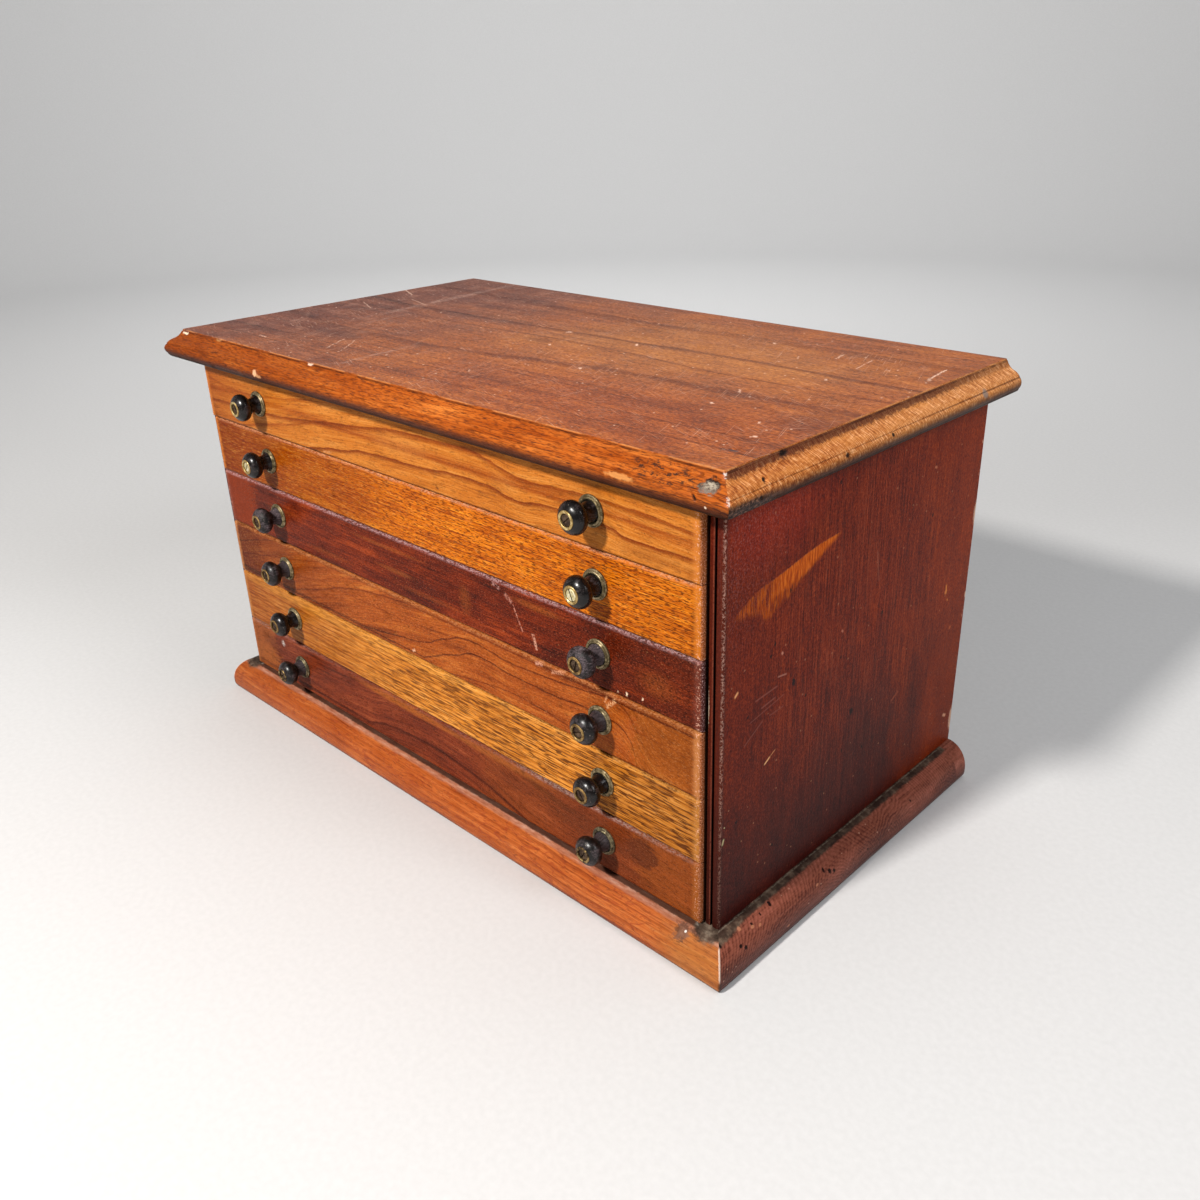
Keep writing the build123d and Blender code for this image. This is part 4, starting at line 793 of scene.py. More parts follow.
def plinth_material(kind):
    """The plinth: the front piece is lighter, the others dark with a curly figure."""
    g = Graph(f"plinth_{kind}_aged")
    x, y, z = g.x, g.y, g.z
    crumbs = g.noise(g.sc(g.P, (1 / 3.0, 1 / 3.0, 1 / 2.0)), 3.0, 0.7)
    cr = g.sub(crumbs, 0.5)
    if kind == "front":
        v = g.add(z, g.mul(y, 0.8))
        r = grain(g, x, v, g.sub(z, y), 51.0, wander=5.0, wander_len=90.0, ring=8.0, ring_jitter=0.9, pore_len=6.0,
                  pore_w=1.1, pore_lo=0.54, pore_hi=0.66)
        val = tone(g, r, 0.52, 0.18, 0.10, 0.24, 0.06)
        col = g.ramp(val, ramp4("743010", "9c4a1c", "b4602c", "cc8048"))
        lines = g.mul(r["late"], g.ss(x, 60.0, 200.0, 0.15, 0.8))
        col = g.mix(g.mul(lines, 0.55), col, C("8c4828"), "MULTIPLY")
        streak = g.ss(g.noise(g.vec(g.mul(x, 1 / 60), g.mul(v, 1 / 3.0), 2.0), 3.0, 0.65), 0.54, 0.68)
        col = g.mix(g.mul(streak, 0.40), col, C("a05434"), "MULTIPLY")
        curl = g.noise(g.vec(g.mul(x, 1 / 42), g.mul(v, 1 / 11), 8.0), 2.0, 0.5, 1.2)
        vein = g.ss(g.f("ABSOLUTE", g.sub(curl, 0.52)), 0.006, 0.034, 1.0, 0.0)
        col = g.mix(g.mul(vein, 0.55), col, C("84341c"))
        spots = g.ss(g.noise(g.vec(g.mul(x, 1 / 9), g.mul(v, 1 / 4), 6.0), 3.0, 0.7), 0.62, 0.70)
        col = g.mix(g.mul(spots, 0.55), col, C("4c2010"))
        col = g.mix(g.mul(g.ss(g.add(x, g.mul(cr, 80.0)), -310.0, -90.0, 1.0, 0.0), 0.35), col, C("84401c"))
        tan = g.mul(g.ss(g.add(x, g.mul(cr, 30.0)), 255.0, 300.0), 0.55)
        col = g.mix(tan, col, g.ramp(val, ramp4("7c4820", "98602e", "a87038", "c08c54")))
        col = g.mix(g.mul(r["pores"], 0.35), col, C("4c200c"))
    else:
        u, w = (x, y) if kind == "back" else (y, x)
        r = grain(g, u, z, w, 61.0, wander=3.0, ring=8.0, ring_jitter=1.0, pore_len=5.0, pore_w=1.1)
        arcs = end_rings(g, u, z, CY + 90.0, -40.0, 0.9, 2.6, 4.0)
        arcs2 = end_rings(g, u, z, CY + 250.0, -60.0, 0.7, 2.8, 9.0)
        here = g.ss(g.noise(g.vec(g.mul(u, 1 / 70), g.mul(z, 1 / 40), 3.0), 2.0), 0.40, 0.60)
        arcs = g.mix(here, arcs, arcs2)
        val = g.add(tone(g, r, 0.46, 0.08, 0.10, 0.26, 0.02), g.mul(arcs, -0.15), g.mul(cr, 0.5))
        col = g.ramp(val, ramp4("54281e", "7c4434", "945444", "b07460"))
        lowd = g.ss(g.add(z, g.mul(cr, 8.0), g.mul(g.sub(r["blot"], 0.5), 18.0)), 3.0, 23.0, 1.0, 0.0)
        col = g.mix(g.mul(lowd, 0.65), col, g.ramp(val, ramp4("281010", "3a1a1a", "482320", "60342e")))
    toe = g.ss(g.add(z, g.mul(cr, 4.0)), 0.5, 3.6, 1.0, 0.0)
    col = g.mix(g.mul(toe, 0.7), col, C("301c16"))
    # the flat lip above the round: dusty along the front, black dirt in the corners and along the side
    lip = g.ss(g.add(z, g.mul(cr, 0.5)), 31.6, 32.2)
    if kind == "front":
        dust = g.noise(g.sc(g.P, (1 / 14, 1 / 3, 1 / 3)), 3.0, 0.65)
        out = g.sub(CY, y)
        lip = g.ss(g.add(out, g.mul(g.sub(dust, 0.5), 5.0)), 10.2, 12.2, 1.0, 0.0)
        col = g.mix(g.mul(lip, 0.70), col, g.ramp(dust, [(0.3, C("84503c")), (0.5, C("a4705a")), (0.7, C("c09884"))]))
        # painted shadow: a dark strip on the lip under the proud front of the bottom drawer
        shadow_under_drawer = g.ss(g.add(out, g.mul(cr, 2.0)), 6.6, 7.9, 1.0, 0.0)
        col = g.mix(g.mul(shadow_under_drawer, 0.85), col, C("2c1812"))
        soil = g.noise(g.sc(g.P, (1 / 8.0, 1 / 8.0, 1 / 6.0)), 3.0, 0.6)
        m = g.mul(g.blob(x, y, 291.0, CY - 13.5, 6.5, 5.0, 0.35, g.mul(cr, 2.6)), g.ss(z, 20.0, 22.0))
        col = g.mix(g.mul(m, 0.8), col, g.ramp(soil, [(0.40, C("3c2820")), (0.6, C("6c5044"))]))
        for cx, rr in ((-309, 12), (308.5, 12)):
            m = g.mul(g.blob(x, y, cx, CY - 4.5, rr, 8.6, 0.22, g.mul(cr, 0.7)), g.ss(z, 24.5, 26.5))
            gcol = g.ramp(soil, [(0.35, C("2c221b")), (0.52, C("4a3d33")), (0.68, C("746658"))])
            col = g.mix(g.mul(m, 0.96), col, gcol)
            edge_m = g.mul(g.blob(x, y, cx, CY - 3.6, rr + 0.4, 7.4, 0.10, g.mul(cr, 0.7)), g.inv(g.blob(x, y, cx, CY - 2.6, rr - 1.2, 6.6, 0.12, g.mul(cr, 0.7))),
                           g.ss(y, CY - 6.0, CY - 4.5))
            col = g.mix(g.mul(edge_m, 0.5), col, C("9c9488"))
        col = g.mix(g.mul(g.blob(x, y, 293.5, CY - 12.6, 0.9, 0.8, 0.3), 0.9), col, C("e0dcd4"))
        m = g.mul(g.blob(x, y, 293.0, CY - 13.0, 9.0, 3.6, 0.4, g.mul(cr, 2.6)), lip)
        col = g.mix(g.mul(m, 0.6), col, C("5c3828"))
    else:
        if kind == "side":
            a_y = g.sub(g.f("ABSOLUTE", x), 313.0)
            reach = g.add(6.8, g.mul(g.blob(y, 0.0, CY - 4, 0, 16, 1, 0.8), 3.0))
            strip = g.ss(g.sub(g.add(a_y, g.mul(cr, 3.2)), reach), -1.2, 1.2, 1.0, 0.0)
            strip = g.mul(strip, g.ss(z, 26.0, 29.0))
            soil = g.noise(g.sc(g.P, (1 / 9.0, 1 / 9.0, 1 / 5.0)), 3.0, 0.6)
            gcol = g.ramp(soil, [(0.35, C("261a14")), (0.52, C("40332a")), (0.68, C("665546"))])
            col = g.mix(g.mul(strip, 0.96), col, gcol)
            rim = g.mul(g.ss(g.f("ABSOLUTE", g.sub(g.add(a_y, g.mul(cr, 2.6)), 1.5)), 0.2, 0.9, 1.0, 0.0), g.ss(crumbs, 0.40, 0.56))
            col = g.mix(g.mul(rim, 0.40), col, C("948878"))
            m = g.mul(g.blob(y, z, CY + 326, 27, 8, 4, 0.4, g.mul(cr, 1.6)), 0.9)
            col = g.mix(m, col, C("544844"))
            m = g.blob(y, z, CY + 332, 20, 2.6, 4.4, 0.3, g.mul(cr, 1.6))
            col = g.mix(g.mul(m, 0.9), col, C("e0d0c0"))
        flecks = g.ss(g.cells(g.sc(g.P, (1 / 10, 1 / 10, 1 / 8))), 0.06, 0.10, 1.0, 0.0)
        col = g.mix(g.mul(flecks, 0.5), col, C("c89880"))
        pts = ((CY + 6.5, 22.8, 1.3), (CY + 10.5, 20.0, 1.5), (CY - 9.5, 29.7, 1.2), (CY + 24.5, 27.8, 1.1), (CY + 49, 30.0, 1.2),
               (CY + 36.5, 29.1, 0.8), (CY + 112, 25, 1.4), (CY + 118, 22, 2.0), (CY + 123, 20, 1.4), (CY + 170, 14, 1.0),
               (CY + 240, 22, 1.0))
        for cu, cv, rr in pts:
            m = g.blob(y, z, cu, cv, rr, rr, 0.3, g.mul(cr, 2.0))
            col = g.mix(g.mul(m, 0.95), col, C("080405"))
        for cu, cv in ((CY + 24, 27), (CY + 31, 25), (CY + 13, 30), (CY + 100, 20), (CY + 60, 8)):
            m = g.blob(y, z, cu, cv, 1.6, 0.8, 0.4, g.mul(cr, 1.6))
            col = g.mix(g.mul(m, 0.7), col, C("b87858"))
    # the worn mitre at the front corners
    fx = g.sub(g.f("ABSOLUTE", x), 313.0)
    fy = g.mul(g.sub(CY, y), 19.5 / 22.0)
    mitre = g.mul(g.ss(g.add(g.f("ABSOLUTE", g.sub(fx, fy)), g.mul(cr, 1.2)), 0.3, 1.2, 1.0, 0.0), g.ss(fx, 9.0, 11.0),
                  g.ss(z, 9.0, 14.0))
    col = g.mix(g.mul(mitre, 0.85), col, C("d8c0b0"))
    dark_mitre = g.mul(g.ss(g.add(g.f("ABSOLUTE", g.sub(fx, fy)), g.mul(cr, 1.6)), 0.3, 2.4, 1.0, 0.0), g.ss(fx, 9.0, 11.0),
                       g.ss(z, 8.0, 12.0, 1.0, 0.0))
    col = g.mix(g.mul(dark_mitre, 0.8), col, C("2c1a12"))
    if kind == "side":
        col = g.mix(g.mul(g.ss(g.f("ABSOLUTE", x), 311.5, 312.5, 1.0, 0.0), 0.7), col, C("6c4830"))
    elif kind == "front":
        col = g.mix(g.mul(g.ss(y, CY + 1.0, CY + 2.0), 0.7), col, C("6c4830"))
    h = g.add(g.mul(r["pores"], -0.5), g.mul(r["fine"], 0.35), g.mul(crumbs, lip, 0.6))
    nrm = g.bump(h, 0.2, 0.8)
    nrm = g.bump(g.noise(g.sc(g.P, (1 / 5.0, 1 / 5.0, 1 / 5.0)), 2.0, 0.5), 0.25, 0.5, nrm)
    rough = g.ss(g.add(g.mul(r["blot"], 0.5), g.mul(lip, 0.5), g.mul(toe, 0.3)), 0.1, 1.0, 0.30, 0.68)
    return g.done(col, rough, nrm, spec=0.09)


def plain_wood(name, stops, axis, seed, ring=7.0, late=0.3, dirt=0.3, rough0=0.55, boards=None):
    """Unvarnished wood of the drawer boxes, the runners and the back."""
    g = Graph(name)
    x, y, z = g.x, g.y, g.z
    u, v, w = {"x": (x, z, y), "y": (y, x, z), "z": (z, x, y), "yz": (y, z, x)}[axis]
    r = grain(g, u, v, w, seed, wander=5.0, wander_len=200.0, ring=ring, ring_jitter=1.1, pore_len=5.0, pore_w=0.8)
    col = g.ramp(tone(g, r, 0.52, 0.30, 0.24, 0.26, late), stops)
    col = g.mix(g.mul(r["pores"], 0.4), col, C("4a2c16"))
    stain = g.ss(g.noise(g.sc(g.P, (1 / 45, 1 / 45, 1 / 30), (seed, 0, 0)), 5.0, 0.65), 0.48, 0.75)
    col = g.mix(g.mul(stain, dirt), col, C("4c3018"), "MULTIPLY")
    h = g.add(g.mul(r["pores"], -0.4), g.mul(r["fine"], 0.5))
    saw = g.noise(g.vec(g.mul(u, 1 / 1.6), g.mul(v, 1 / 30), g.mul(w, 1 / 30)), 1.0)
    nrm = g.bump(g.add(h, g.mul(saw, 0.35)), 0.22, 0.8)
    rough = g.ss(r["blot"], 0.2, 0.8, rough0, 0.8)
    return g.done(col, rough, nrm, spec=0.3)


def ebony(name, worn, gloss):
    """Black turned wood, rubbed grey-brown where hands reach it."""
    g = Graph(name)
    n1 = g.noise(g.sc(g.P, (1 / 6.0, 1 / 6.0, 1 / 6.0)), 4.0, 0.6)
    n2 = g.noise(g.sc(g.P, (1 / 0.8, 1 / 5.0, 1 / 0.8)), 2.0, 0.6)
    base = g.ramp(n1, [(0.3, C("0a0809")), (0.55, C("120e0d")), (0.75, C("1e1816"))])
    wear = g.ss(g.add(n1, g.mul(g.sub(n2, 0.5), 0.5)), 0.56 - 0.16 * worn, 0.80 - 0.10 * worn)
    foot = g.ss(g.y, CY - 17.0, CY - 14.0)
    wear = g.maxi(wear, g.mul(foot, 0.75 * (worn > 0.4)))
    col = g.mix(g.mul(wear, worn), base, g.ramp(n2, [(0.35, C("2c2428")), (0.65, C("62565a"))]))
    spots = g.ss(g.cells(g.sc(g.P, (1 / 4.2, 1 / 4.2, 1 / 4.2))), 0.06, 0.11, 1.0, 0.0)
    col = g.mix(g.mul(spots, 0.25 + 0.25 * worn), col, C("a89888"))
    h = g.add(g.mul(n2, 0.5), g.mul(spots, -0.5), g.mul(n1, 0.3))
    nrm = g.bump(h, 0.16, 0.7)
    rough = g.ss(g.add(g.mul(n1, 0.7), g.mul(wear, 0.5)), 0.25, 1.0, gloss, gloss + 0.30)
    return g.done(col, rough, nrm, coat=0.12 if worn < 0.6 else 0.0, coat_rough=0.22, spec=0.27)


def brass(name, dark, mid, light, amount=0.5, rough0=0.28, metallic=0.85, ring=None, slot_y=None):
    """Old brass: dull olive brown with brighter rubbed places and fine turned lines.
    ring is the colour set of the part in the knob's face."""
    g = Graph(name)
    n1 = g.noise(g.sc(g.P, (1 / 3.5, 1 / 3.5, 1 / 3.5)), 4.0, 0.65)
    n2 = g.noise(g.sc(g.P, (1 / 0.7, 1 / 0.7, 1 / 0.7)), 2.0, 0.6)
    v = g.add(g.mul(n1, 0.75), g.mul(n2, 0.3))
    stops = (0.36, 0.5, 0.64)
    col = g.ramp(v, list(zip(stops, (dark, mid, light))))
    if ring is not None:
        col = g.mix(g.ss(g.y, CY - 17.0, CY - 15.0, 1.0, 0.0), col, g.ramp(v, list(zip(stops, ring))))
    black = g.ss(g.noise(g.sc(g.P, (1 / 6.0, 1 / 2.0, 1 / 6.0), (8, 0, 0)), 3.0, 0.7), 0.55, 0.68)
    col = g.mix(g.mul(black, amount), col, C("1a140c"))
    if slot_y is not None:
        col = g.mix(g.ss(g.add(g.y, g.mul(g.ss(g.x, -1.0, 1.0), 0.55)), slot_y, slot_y + 0.25), col, C("120a06"))
    # hatched file lines across the rosette
    hatch = g.noise(g.sc(g.turn(g.P, 35.0, "Y"), (1 / 0.5, 1 / 3.0, 1 / 7.0)), 1.0)
    nrm = g.bump(g.add(n2, n1, hatch), 0.07, 0.6)
    rough = g.ss(n1, 0.3, 0.75, rough0 + 0.28, rough0 + 0.06)
    return g.done(col, rough, nrm, metallic=metallic)


def iron(name):
    g = Graph(name)
    n1 = g.noise(g.sc(g.P, (1 / 1.5, 1 / 1.5, 1 / 1.5)), 4.0, 0.7)
    col = g.ramp(n1, [(0.35, C("2c211b")), (0.5, C("5a4a3e")), (0.7, C("8a7c70"))])
    nrm = g.bump(n1, 0.08, 0.8)
    return g.done(col, g.ss(n1, 0.3, 0.7, 0.7, 0.4), nrm, metallic=0.8)


def give(node, material):
    o = N[node]
    for i in range(max(1, len(o.material_slots))):
        if not o.material_slots:
            o.data.materials.append(material)
        else:
            o.material_slots[i].material = material


def arc3(p, m, q, step=0.75):
    """Points after p on the circle through p, m and q, up to q."""
    (ax, ay), (bx, by), (cx, cy) = p, m, q
    d = 2 * (ax * (by - cy) + bx * (cy - ay) + cx * (ay - by))
    ux = ((ax * ax + ay * ay) * (by - cy) + (bx * bx + by * by) * (cy - ay) + (cx * cx + cy * cy) * (ay - by)) / d
    uy = ((ax * ax + ay * ay) * (cx - bx) + (bx * bx + by * by) * (ax - cx) + (cx * cx + cy * cy) * (bx - ax)) / d
    rad = math.hypot(ax - ux, ay - uy)
    a0, am, a1 = (math.atan2(v[1] - uy, v[0] - ux) for v in (p, m, q))
    sweep = (a1 - a0) % (2 * math.pi)
    if (am - a0) % (2 * math.pi) > sweep:
        sweep -= 2 * math.pi
    n = max(3, math.ceil(abs(sweep) * rad / step))
    return [(ux + rad * math.cos(a0 + sweep * k / n), uy + rad * math.sin(a0 + sweep * k / n)) for k in range(1, n + 1)]


def smooth_noise(seed, *coords):
    """Sum of a few fixed sine waves, -1 to 1, the same on every run."""
    rng = np.random.RandomState(seed)
    out = np.zeros_like(coords[0])
    for k in range(7):
        ph = rng.rand() * 6.28
        arg = ph
        for c in coords:
            arg = arg + c * rng.uniform(-1, 1) * (1.0 + 0.6 * k)
        out += np.sin(arg) / (1.0 + 0.35 * k)
    return out / 3.2


def worn_top():
    """The top board with its moulding, dents, pits and rubbed corners as real shape. All
    wear goes into the board."""
    prof = [(0.0, 0.0), (0.2, 0.6), (0.35, 1.3), (0.9, 1.6)]
    prof += arc3((0.9, 1.6), (3.2, 5.4), (6.8, 8.0))
    prof += arc3((6.8, 8.0), (9.8, 9.75), (12.2, 12.3))
    prof += [(12.0, 12.75), (12.6, 13.1)]
    prof += arc3((12.6, 13.1), (14.2, 17.3), (12.7, 21.6))
    prof += arc3((12.7, 21.6), (11.3, 24.0), (8.8, 25.0))
    prof = np.array(prof)
    tan = np.gradient(prof, axis=0)
    ln = np.hypot(tan[:, 0], tan[:, 1])
    nt, nz = tan[:, 1] / ln, tan[:, 0] / ln          # outward and upward parts of the normal
    nt[0], nz[0] = 0.7, 0.7
    nt[-1], nz[-1] = 0.3, -0.95
    t, dep = prof[:, 0], prof[:, 1]
    ax, ay, yb = 321.5, CY - 11.5, CB + 5.0
    xs = np.concatenate([np.linspace(-321.5, -296, 22)[:-1], np.linspace(-296, -182, 24)[:-1], np.linspace(-182, -164, 16)[:-1],
                         np.linspace(-164, 244, 72)[:-1], np.linspace(244, 296, 50)[:-1], np.linspace(296, 321.5, 42)])
    ys = np.concatenate([np.linspace(0, 34, 36)[:-1], np.linspace(34, 110, 28)[:-1], np.linspace(110, yb - ay, 34)])
    u, w = xs / 321.5, ys / (yb - ay)
    nx, ny, nk = len(u) - 1, len(w) - 1, len(t) - 1
    index, verts = {}, []

    def vert(i, j, k):
        key = (i, j, k)
        if key not in index:
            index[key] = len(verts)
            verts.append(key)
        return index[key]

    faces = []
    for i in range(nx):
        for j in range(ny):
            faces.append((vert(i, j, 0), vert(i + 1, j, 0), vert(i + 1, j + 1, 0), vert(i, j + 1, 0)))
            faces.append((vert(i, j + 1, nk), vert(i + 1, j + 1, nk), vert(i + 1, j, nk), vert(i, j, nk)))
    for k in range(nk):
        for i in range(nx):
            faces.append((vert(i, 0, k + 1), vert(i + 1, 0, k + 1), vert(i + 1, 0, k), vert(i, 0, k)))
            faces.append((vert(i, ny, k), vert(i + 1, ny, k), vert(i + 1, ny, k + 1), vert(i, ny, k + 1)))
        for j in range(ny):
            faces.append((vert(0, j, k), vert(0, j + 1, k), vert(0, j + 1, k + 1), vert(0, j, k + 1)))
            faces.append((vert(nx, j, k + 1), vert(nx, j + 1, k + 1), vert(nx, j + 1, k), vert(nx, j, k)))
    ijk = np.array(verts)
    i, j, k = ijk.T
    x = u[i] * (ax + t[k])
    y = yb - (1 - w[j]) * (yb - ay + t[k])
    z = TOPZ - dep[k]
    dn = dep[k]
    on_f = (j == 0)
    on_r = (i == nx)
    on_l = (i == 0)
    on_t = (k == 0)

    def pit(a, b, ca, cb, ra, rb, depth, seed=0, rag=0.35, flat=2.0):
        """A hollow with a ragged outline and a flat floor."""
        d = np.hypot((a - ca) / ra, (b - cb) / rb) + rag * smooth_noise(seed, a * 0.55, b * 0.75)
        return depth * np.clip((1.15 - d) * flat, 0, 1)

    f = np.zeros(len(x))
    f = np.maximum(f, pit(x, dn, 316.6, 8.6, 6.6, 3.0, 1.9, 3, 0.30, 2.2) * (0.8 + 0.25 * smooth_noise(5, x * 0.9, dn * 0.9)))
    a = np.clip(((x - 307.5) * 4.5 + (dn - 13.2) * 3.4) / (4.5 ** 2 + 3.4 ** 2), 0, 1)
    f = np.maximum(f, 0.9 * np.clip(1.3 - np.hypot(x - 307.5 - a * 4.5, dn - 13.2 - a * 3.4) / 0.75, 0, 1))
    rng = np.random.RandomState(12)
    for q in range(26):
        px, pd = 252 + 58 * rng.rand(), 8.2 + rng.uniform(-4.2, 4.2)
        f = np.maximum(f, pit(x, dn, px, pd, rng.uniform(0.9, 2.6), rng.uniform(0.5, 0.9), rng.uniform(0.25, 0.6), 20 + q, 0.3, 1.6))
    f = np.maximum(f, pit(x, dn, -313, 2.2, 5.5, 2.2, 1.1, 60, 0.35, 1.8))
    f = np.maximum(f, pit(x, dn, -173, 17.0, 4.2, 3.4, 0.9, 61, 0.35, 1.8))
    f = np.maximum(f, pit(x, dn, -104, 0.6, 4.0, 1.4, 0.6, 62, 0.3, 1.6))
    f = np.maximum(f, pit(x, dn, -252, 0.8, 6.0, 1.5, 0.5, 63, 0.3, 1.6))
    f = np.maximum(f, pit(x, dn, 251, 15.3, 12.0, 1.7, 0.30, 64, 0.35, 1.8))
    f = np.maximum(f, pit(x, dn, 60, 17.0, 14.0, 1.6, 0.35, 65, 0.35, 1.6))
    f = f * on_f
    yc = y - CY
    r = np.zeros(len(x))
    for cy_, cd, ra, rb, dep_, sd in ((13, 10.0, 1.5, 1.3, 1.6, 70), (4.5, 17.6, 1.3, 1.3, 1.3, 71), (43, 2.8, 4.0, 1.7, 1.0, 72),
                                      (96, 15.0, 2.2, 1.6, 1.1, 73), (281, 14.0, 5.0, 3.4, 0.6, 74), (20, 20.5, 9.0, 2.0, 0.5, 75)):
        r = np.maximum(r, pit(yc, dn, cy_, cd, ra, rb, dep_, sd, 0.3, 1.8))
    r = r * on_r
    # the corners at the front are rubbed round, most where the edges meet
    for sx in (-1, 1):
        dc = np.hypot(sx * x - (ax + t[k]), y - (ay - t[k]))
        rub = np.clip(1 - dc / 3.6, 0, 1) ** 1.6 * (0.55 + 0.5 * np.clip(1 - dn / 3.0, 0, 1) + 0.35 * np.exp(-((dn - 13.0) / 2.0) ** 2))
        rub = rub * (1.0 + 0.45 * smooth_noise(80 + sx, x * 0.6, y * 0.6, dn * 0.9))
        f = np.maximum(f, rub * on_f)
        r = np.maximum(r, rub * (on_r if sx > 0 else on_l))
    # the arris is rubbed unevenly all along
    wear = 0.22 * np.clip(0.5 + 0.8 * smooth_noise(90, x * 0.09, y * 0.09), 0, 1) * np.exp(-(dn / 0.9) ** 2)
    side = on_r | on_l
    inset = np.maximum(np.where(on_f, f, 0), np.where(side, r, 0))
    inset = np.where(on_f | side, np.maximum(inset, wear), 0)
    sgn = np.where(on_r, 1.0, np.where(on_l, -1.0, 0.0))
    back = (j == ny)
    x = x - sgn * nt[k] * inset
    y = y + np.where(on_f, nt[k] * inset, 0)
    z = z - np.where(back & ~side, 0, nz[k] * inset)
    # small hollows in the flat
    top = np.zeros(len(x))
    top = np.maximum(top, pit(x, yc, 301.5, 21.5, 3.4, 1.6, 0.7, 95, 0.3, 1.6))
    for q, (px, py) in enumerate(((80, -41), (222, -56), (277, -76), (146, 120), (-22, 46), (60, 44), (248, 44))):
        top = np.maximum(top, pit(x, y, px, py, 2.6, 1.6, 0.35, 100 + q, 0.3, 1.6))
    z = z - np.where(on_t & ~on_f & ~side & ~back, top, 0)
    me = bpy.data.meshes.new("top_board_worn")
    me.from_pydata(np.column_stack([x, y, z]) / 1000.0, [], faces)
    me.validate()
    for p in me.polygons:
        p.use_smooth = True
    me.set_sharp_from_angle(angle=math.radians(32))
    o = bpy.data.objects.new("top_board_worn", me)
    bpy.context.scene.collection.objects.link(o)
    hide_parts("top_board")
    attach(o, "cabinet")
    return o


top_piece = worn_top()
top_piece.data.materials.append(top_material())
case_m = case_material()
give("side_panel_left", case_m)
give("side_panel_right", case_m)
give("plinth_front", plinth_material("front"))
side_m = plinth_material("side")
give("plinth_left", side_m)
give("plinth_right", side_m)
give("plinth_back", plinth_material("back"))
give("back_panel", plain_wood("back_wood_aged", ramp4("4e301c", "624026", "6e4a2c", "7e5a38"), "x", 71.0, 14.0, 0.30, 0.4, 0.6))
inner_y = plain_wood("inner_wood_long", ramp4("875f3a", "9e7446", "ae8452", "be9662"), "yz", 81.0)
inner_x = plain_wood("inner_wood_cross", ramp4("875f3a", "9e7446", "ae8452", "be9662"), "x", 83.0)
inner_flat = plain_wood("inner_wood_panel", ramp4("92704a", "a68256", "b48f62", "c29e70"), "y", 87.0, 24.0, 0.16, 0.3)
give("bottom_board", inner_flat)
give("drawer_runners_left", inner_y)
give("drawer_runners_right", inner_y)
give("back_panel_screws", iron("old_iron"))

eb = [ebony("ebonised_glossy", 0.35, 0.24), ebony("ebonised_rubbed", 0.55, 0.32), ebony("ebonised_grey", 1.0, 0.50)]
olive = (C("38301f"), C("6c5f42"), C("a89878"))
brass_m = {"golden": brass("aged_brass_golden", *olive, 0.30, 0.32, ring=(C("6c5830"), C("ac9058"), C("dcc894"))),
           "dull": brass("aged_brass_dull", *olive, 0.35, 0.38, ring=(C("3c2c18"), C("7c6038"), C("a88c58"))),
           "black": brass("aged_brass_blackened", C("2c261c"), C("5c5340"), C("948868"), 0.6, 0.40,
                          ring=(C("1c1510"), C("4c3c28"), C("b09460")))}
head_dark = brass("screw_head_dark", C("20150e"), C("3c2a1c"), C("64503c"), 0.4, 0.45, 0.6)
head_bright = brass("screw_head_bright", C("a89868"), C("d8cca0"), C("f4ecd0"), 0.10, 0.30, slot_y=CY - 6.0 - 23.1 + 0.4)
for n in range(6):
    d = f"drawer_{n + 1}"
    give(f"{d}_front", front_material(n, FRONTS[n]))
    give(f"{d}_side_left", inner_y)
    give(f"{d}_side_right", inner_y)
    give(f"{d}_back", inner_x)
    give(f"{d}_bottom", inner_flat)
    give(f"{d}_knobs", eb[(0, 0, 2, 1, 0, 1)[n]])
    give(f"{d}_knob_brasses", brass_m[("golden", "golden", "dull", "dull", "dull", "black")[n]])
    give(f"{d}_knob_screws", head_bright if n == 1 else head_dark)

# ================================================================ stage
def backdrop():
    """A pale floor that turns up into a back wall in one sweep, curved round the far side."""
    prof = [(r, 0.0) for r in (0.0, 0.5, 1.0, 1.5, 2.0, 2.6, 3.2)]
    for k in range(1, 25):
        a = math.radians(90 * k / 24)
        prof.append((3.2 + 1.6 * math.sin(a), 1.6 * (1 - math.cos(a))))
    prof += [(4.8, 2.4), (4.8, 3.4), (4.8, 4.6)]
    bm = bmesh.new()
    steps = 96
    rings = []
    for r, h in prof:
        if r == 0.0:
            rings.append([bm.verts.new((0, 0, h))] * steps)
        else:
            rings.append([bm.verts.new((r * math.cos(2 * math.pi * i / steps), r * math.sin(2 * math.pi * i / steps), h))
                          for i in range(steps)])
    for a, b in zip(rings, rings[1:]):
        for i in range(steps):
            j = (i + 1) % steps
            q = [a[i], b[i], b[j], a[j]]
            if a[i] is a[j]:
                q = [a[i], b[i], b[j]]
            bm.faces.new(q)
    me = bpy.data.meshes.new("floor")
    bm.normal_update()
    bm.to_mesh(me)
    bm.free()
    for p in me.polygons:
        p.use_smooth = True
    o = bpy.data.objects.new("floor", me)
    bpy.context.scene.collection.objects.link(o)
    g = Graph("pale_floor")
    n1 = g.noise(g.sc(g.P, (1 / 5, 1 / 5, 1 / 5)), 3.0)
    g.done(g.ramp(n1, [(0.3, (0.60, 0.60, 0.60, 1)), (0.7, (0.63, 0.63, 0.63, 1))]), 0.9, spec=0.1)
    me.materials.append(g.m)
    return o


backdrop()


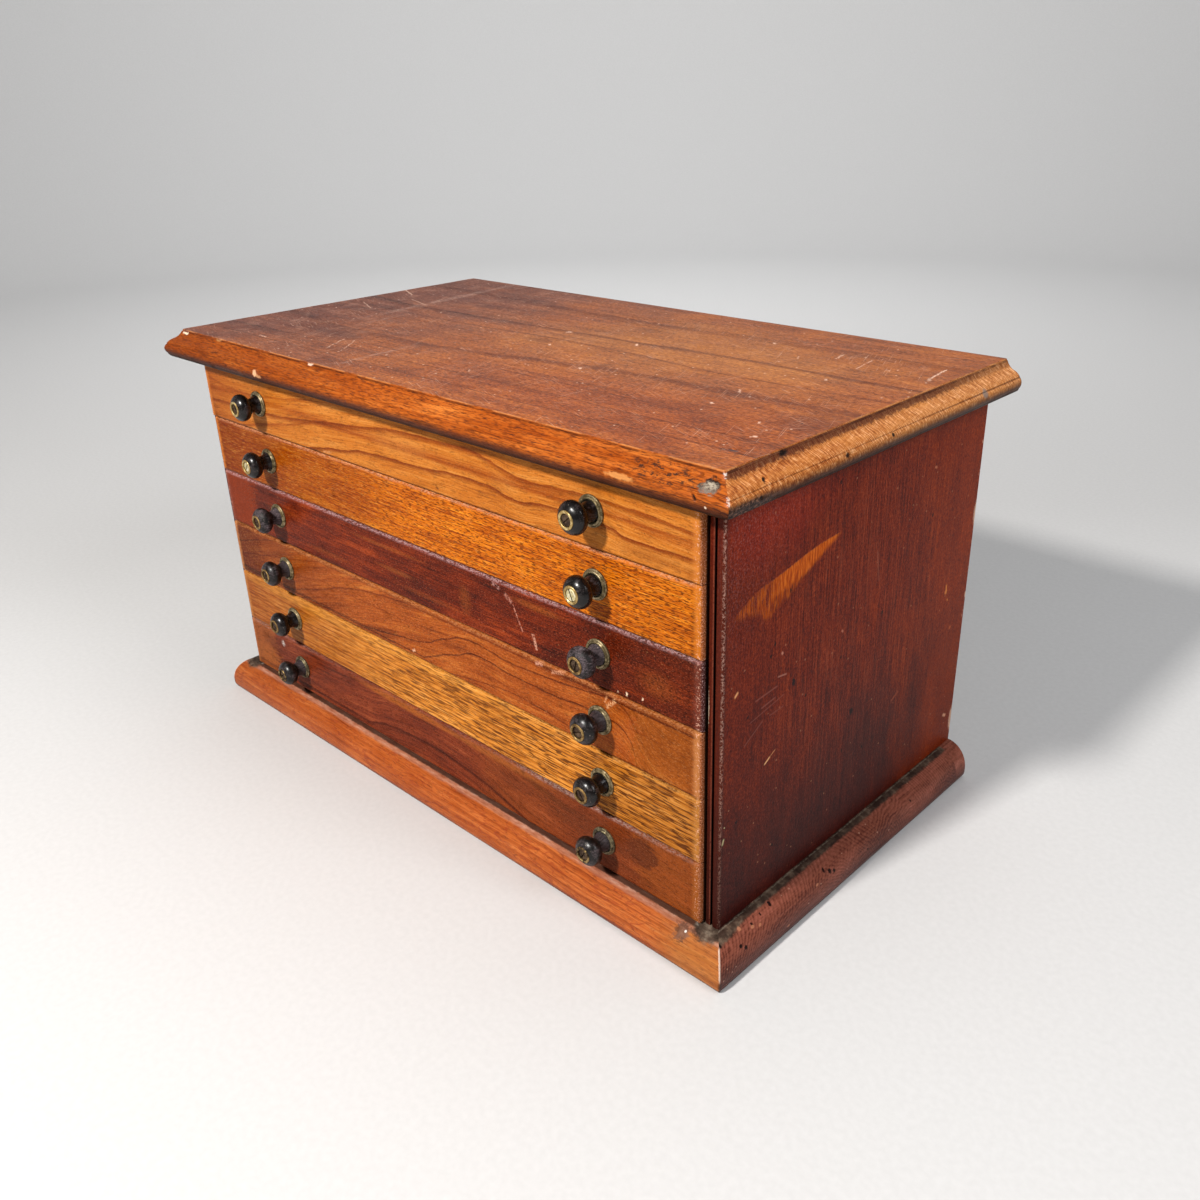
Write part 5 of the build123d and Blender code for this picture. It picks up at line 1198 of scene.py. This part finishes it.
def area(name, pos, target, size, power, colour=(1, 1, 1), size_y=None):
    d = bpy.data.lights.new(name, "AREA")
    d.energy = power
    d.color = colour
    d.shape = "RECTANGLE" if size_y else "DISK"
    d.size = size
    if size_y:
        d.size_y = size_y
    o = bpy.data.objects.new(name, d)
    bpy.context.scene.collection.objects.link(o)
    o.location = pos
    v = Vector(target) - Vector(pos)
    o.rotation_euler = v.to_track_quat("-Z", "Y").to_euler()
    return o


area("key", (0.02, -2.00, 1.82), (0, 0, 0.2), 0.24, 86, (1.0, 0.96, 0.915))
area("fill", (2.15, 0.10, 1.85), (0, 0, 0.2), 0.9, 27, (0.97, 0.98, 1.0))
area("over", (0.1, 0.9, 2.6), (0, 0, 0.3), 2.2, 13, (1.0, 0.98, 0.96))
area("wall", (-1.0, 1.1, 2.4), (-3.4, 3.6, 1.1), 1.6, 60)

w = bpy.data.worlds.new("studio")
bpy.context.scene.world = w
w.use_nodes = True
w.node_tree.nodes["Background"].inputs[0].default_value = (0.95, 0.97, 1.0, 1)
w.node_tree.nodes["Background"].inputs[1].default_value = 0.20

# ================================================================ camera
cam = bpy.data.cameras.new("camera")
cam_o = bpy.data.objects.new("camera", cam)
bpy.context.scene.collection.objects.link(cam_o)
yaw, pitch, roll = (math.radians(a) for a in (-43.386, -25.146, -1.256))
fwd = Vector((math.sin(yaw) * math.cos(pitch), math.cos(yaw) * math.cos(pitch), math.sin(pitch)))
right = Vector((math.cos(yaw), -math.sin(yaw), 0))
up = right.cross(fwd)
r2 = math.cos(roll) * right + math.sin(roll) * up
u2 = -math.sin(roll) * right + math.cos(roll) * up
rot = Matrix((r2, u2, -fwd)).transposed().to_4x4()
cam_o.matrix_world = Matrix.Translation(Vector((0.68990, -0.48046 + CY / 1000, 0.58239))) @ rot
cam.sensor_width = 36.0
cam.lens = 1101.0 / 1200 * 36.0
cam.shift_x = -(631.85 - 600) / 1200
cam.shift_y = (595.78 - 600) / 1200
cam.clip_start = 0.01
cam.clip_end = 50
bpy.context.scene.camera = cam_o

vs = bpy.context.scene.view_settings
vs.view_transform = "Standard"
vs.look = "None"
vs.exposure = 0.0
vs.gamma = 1.0
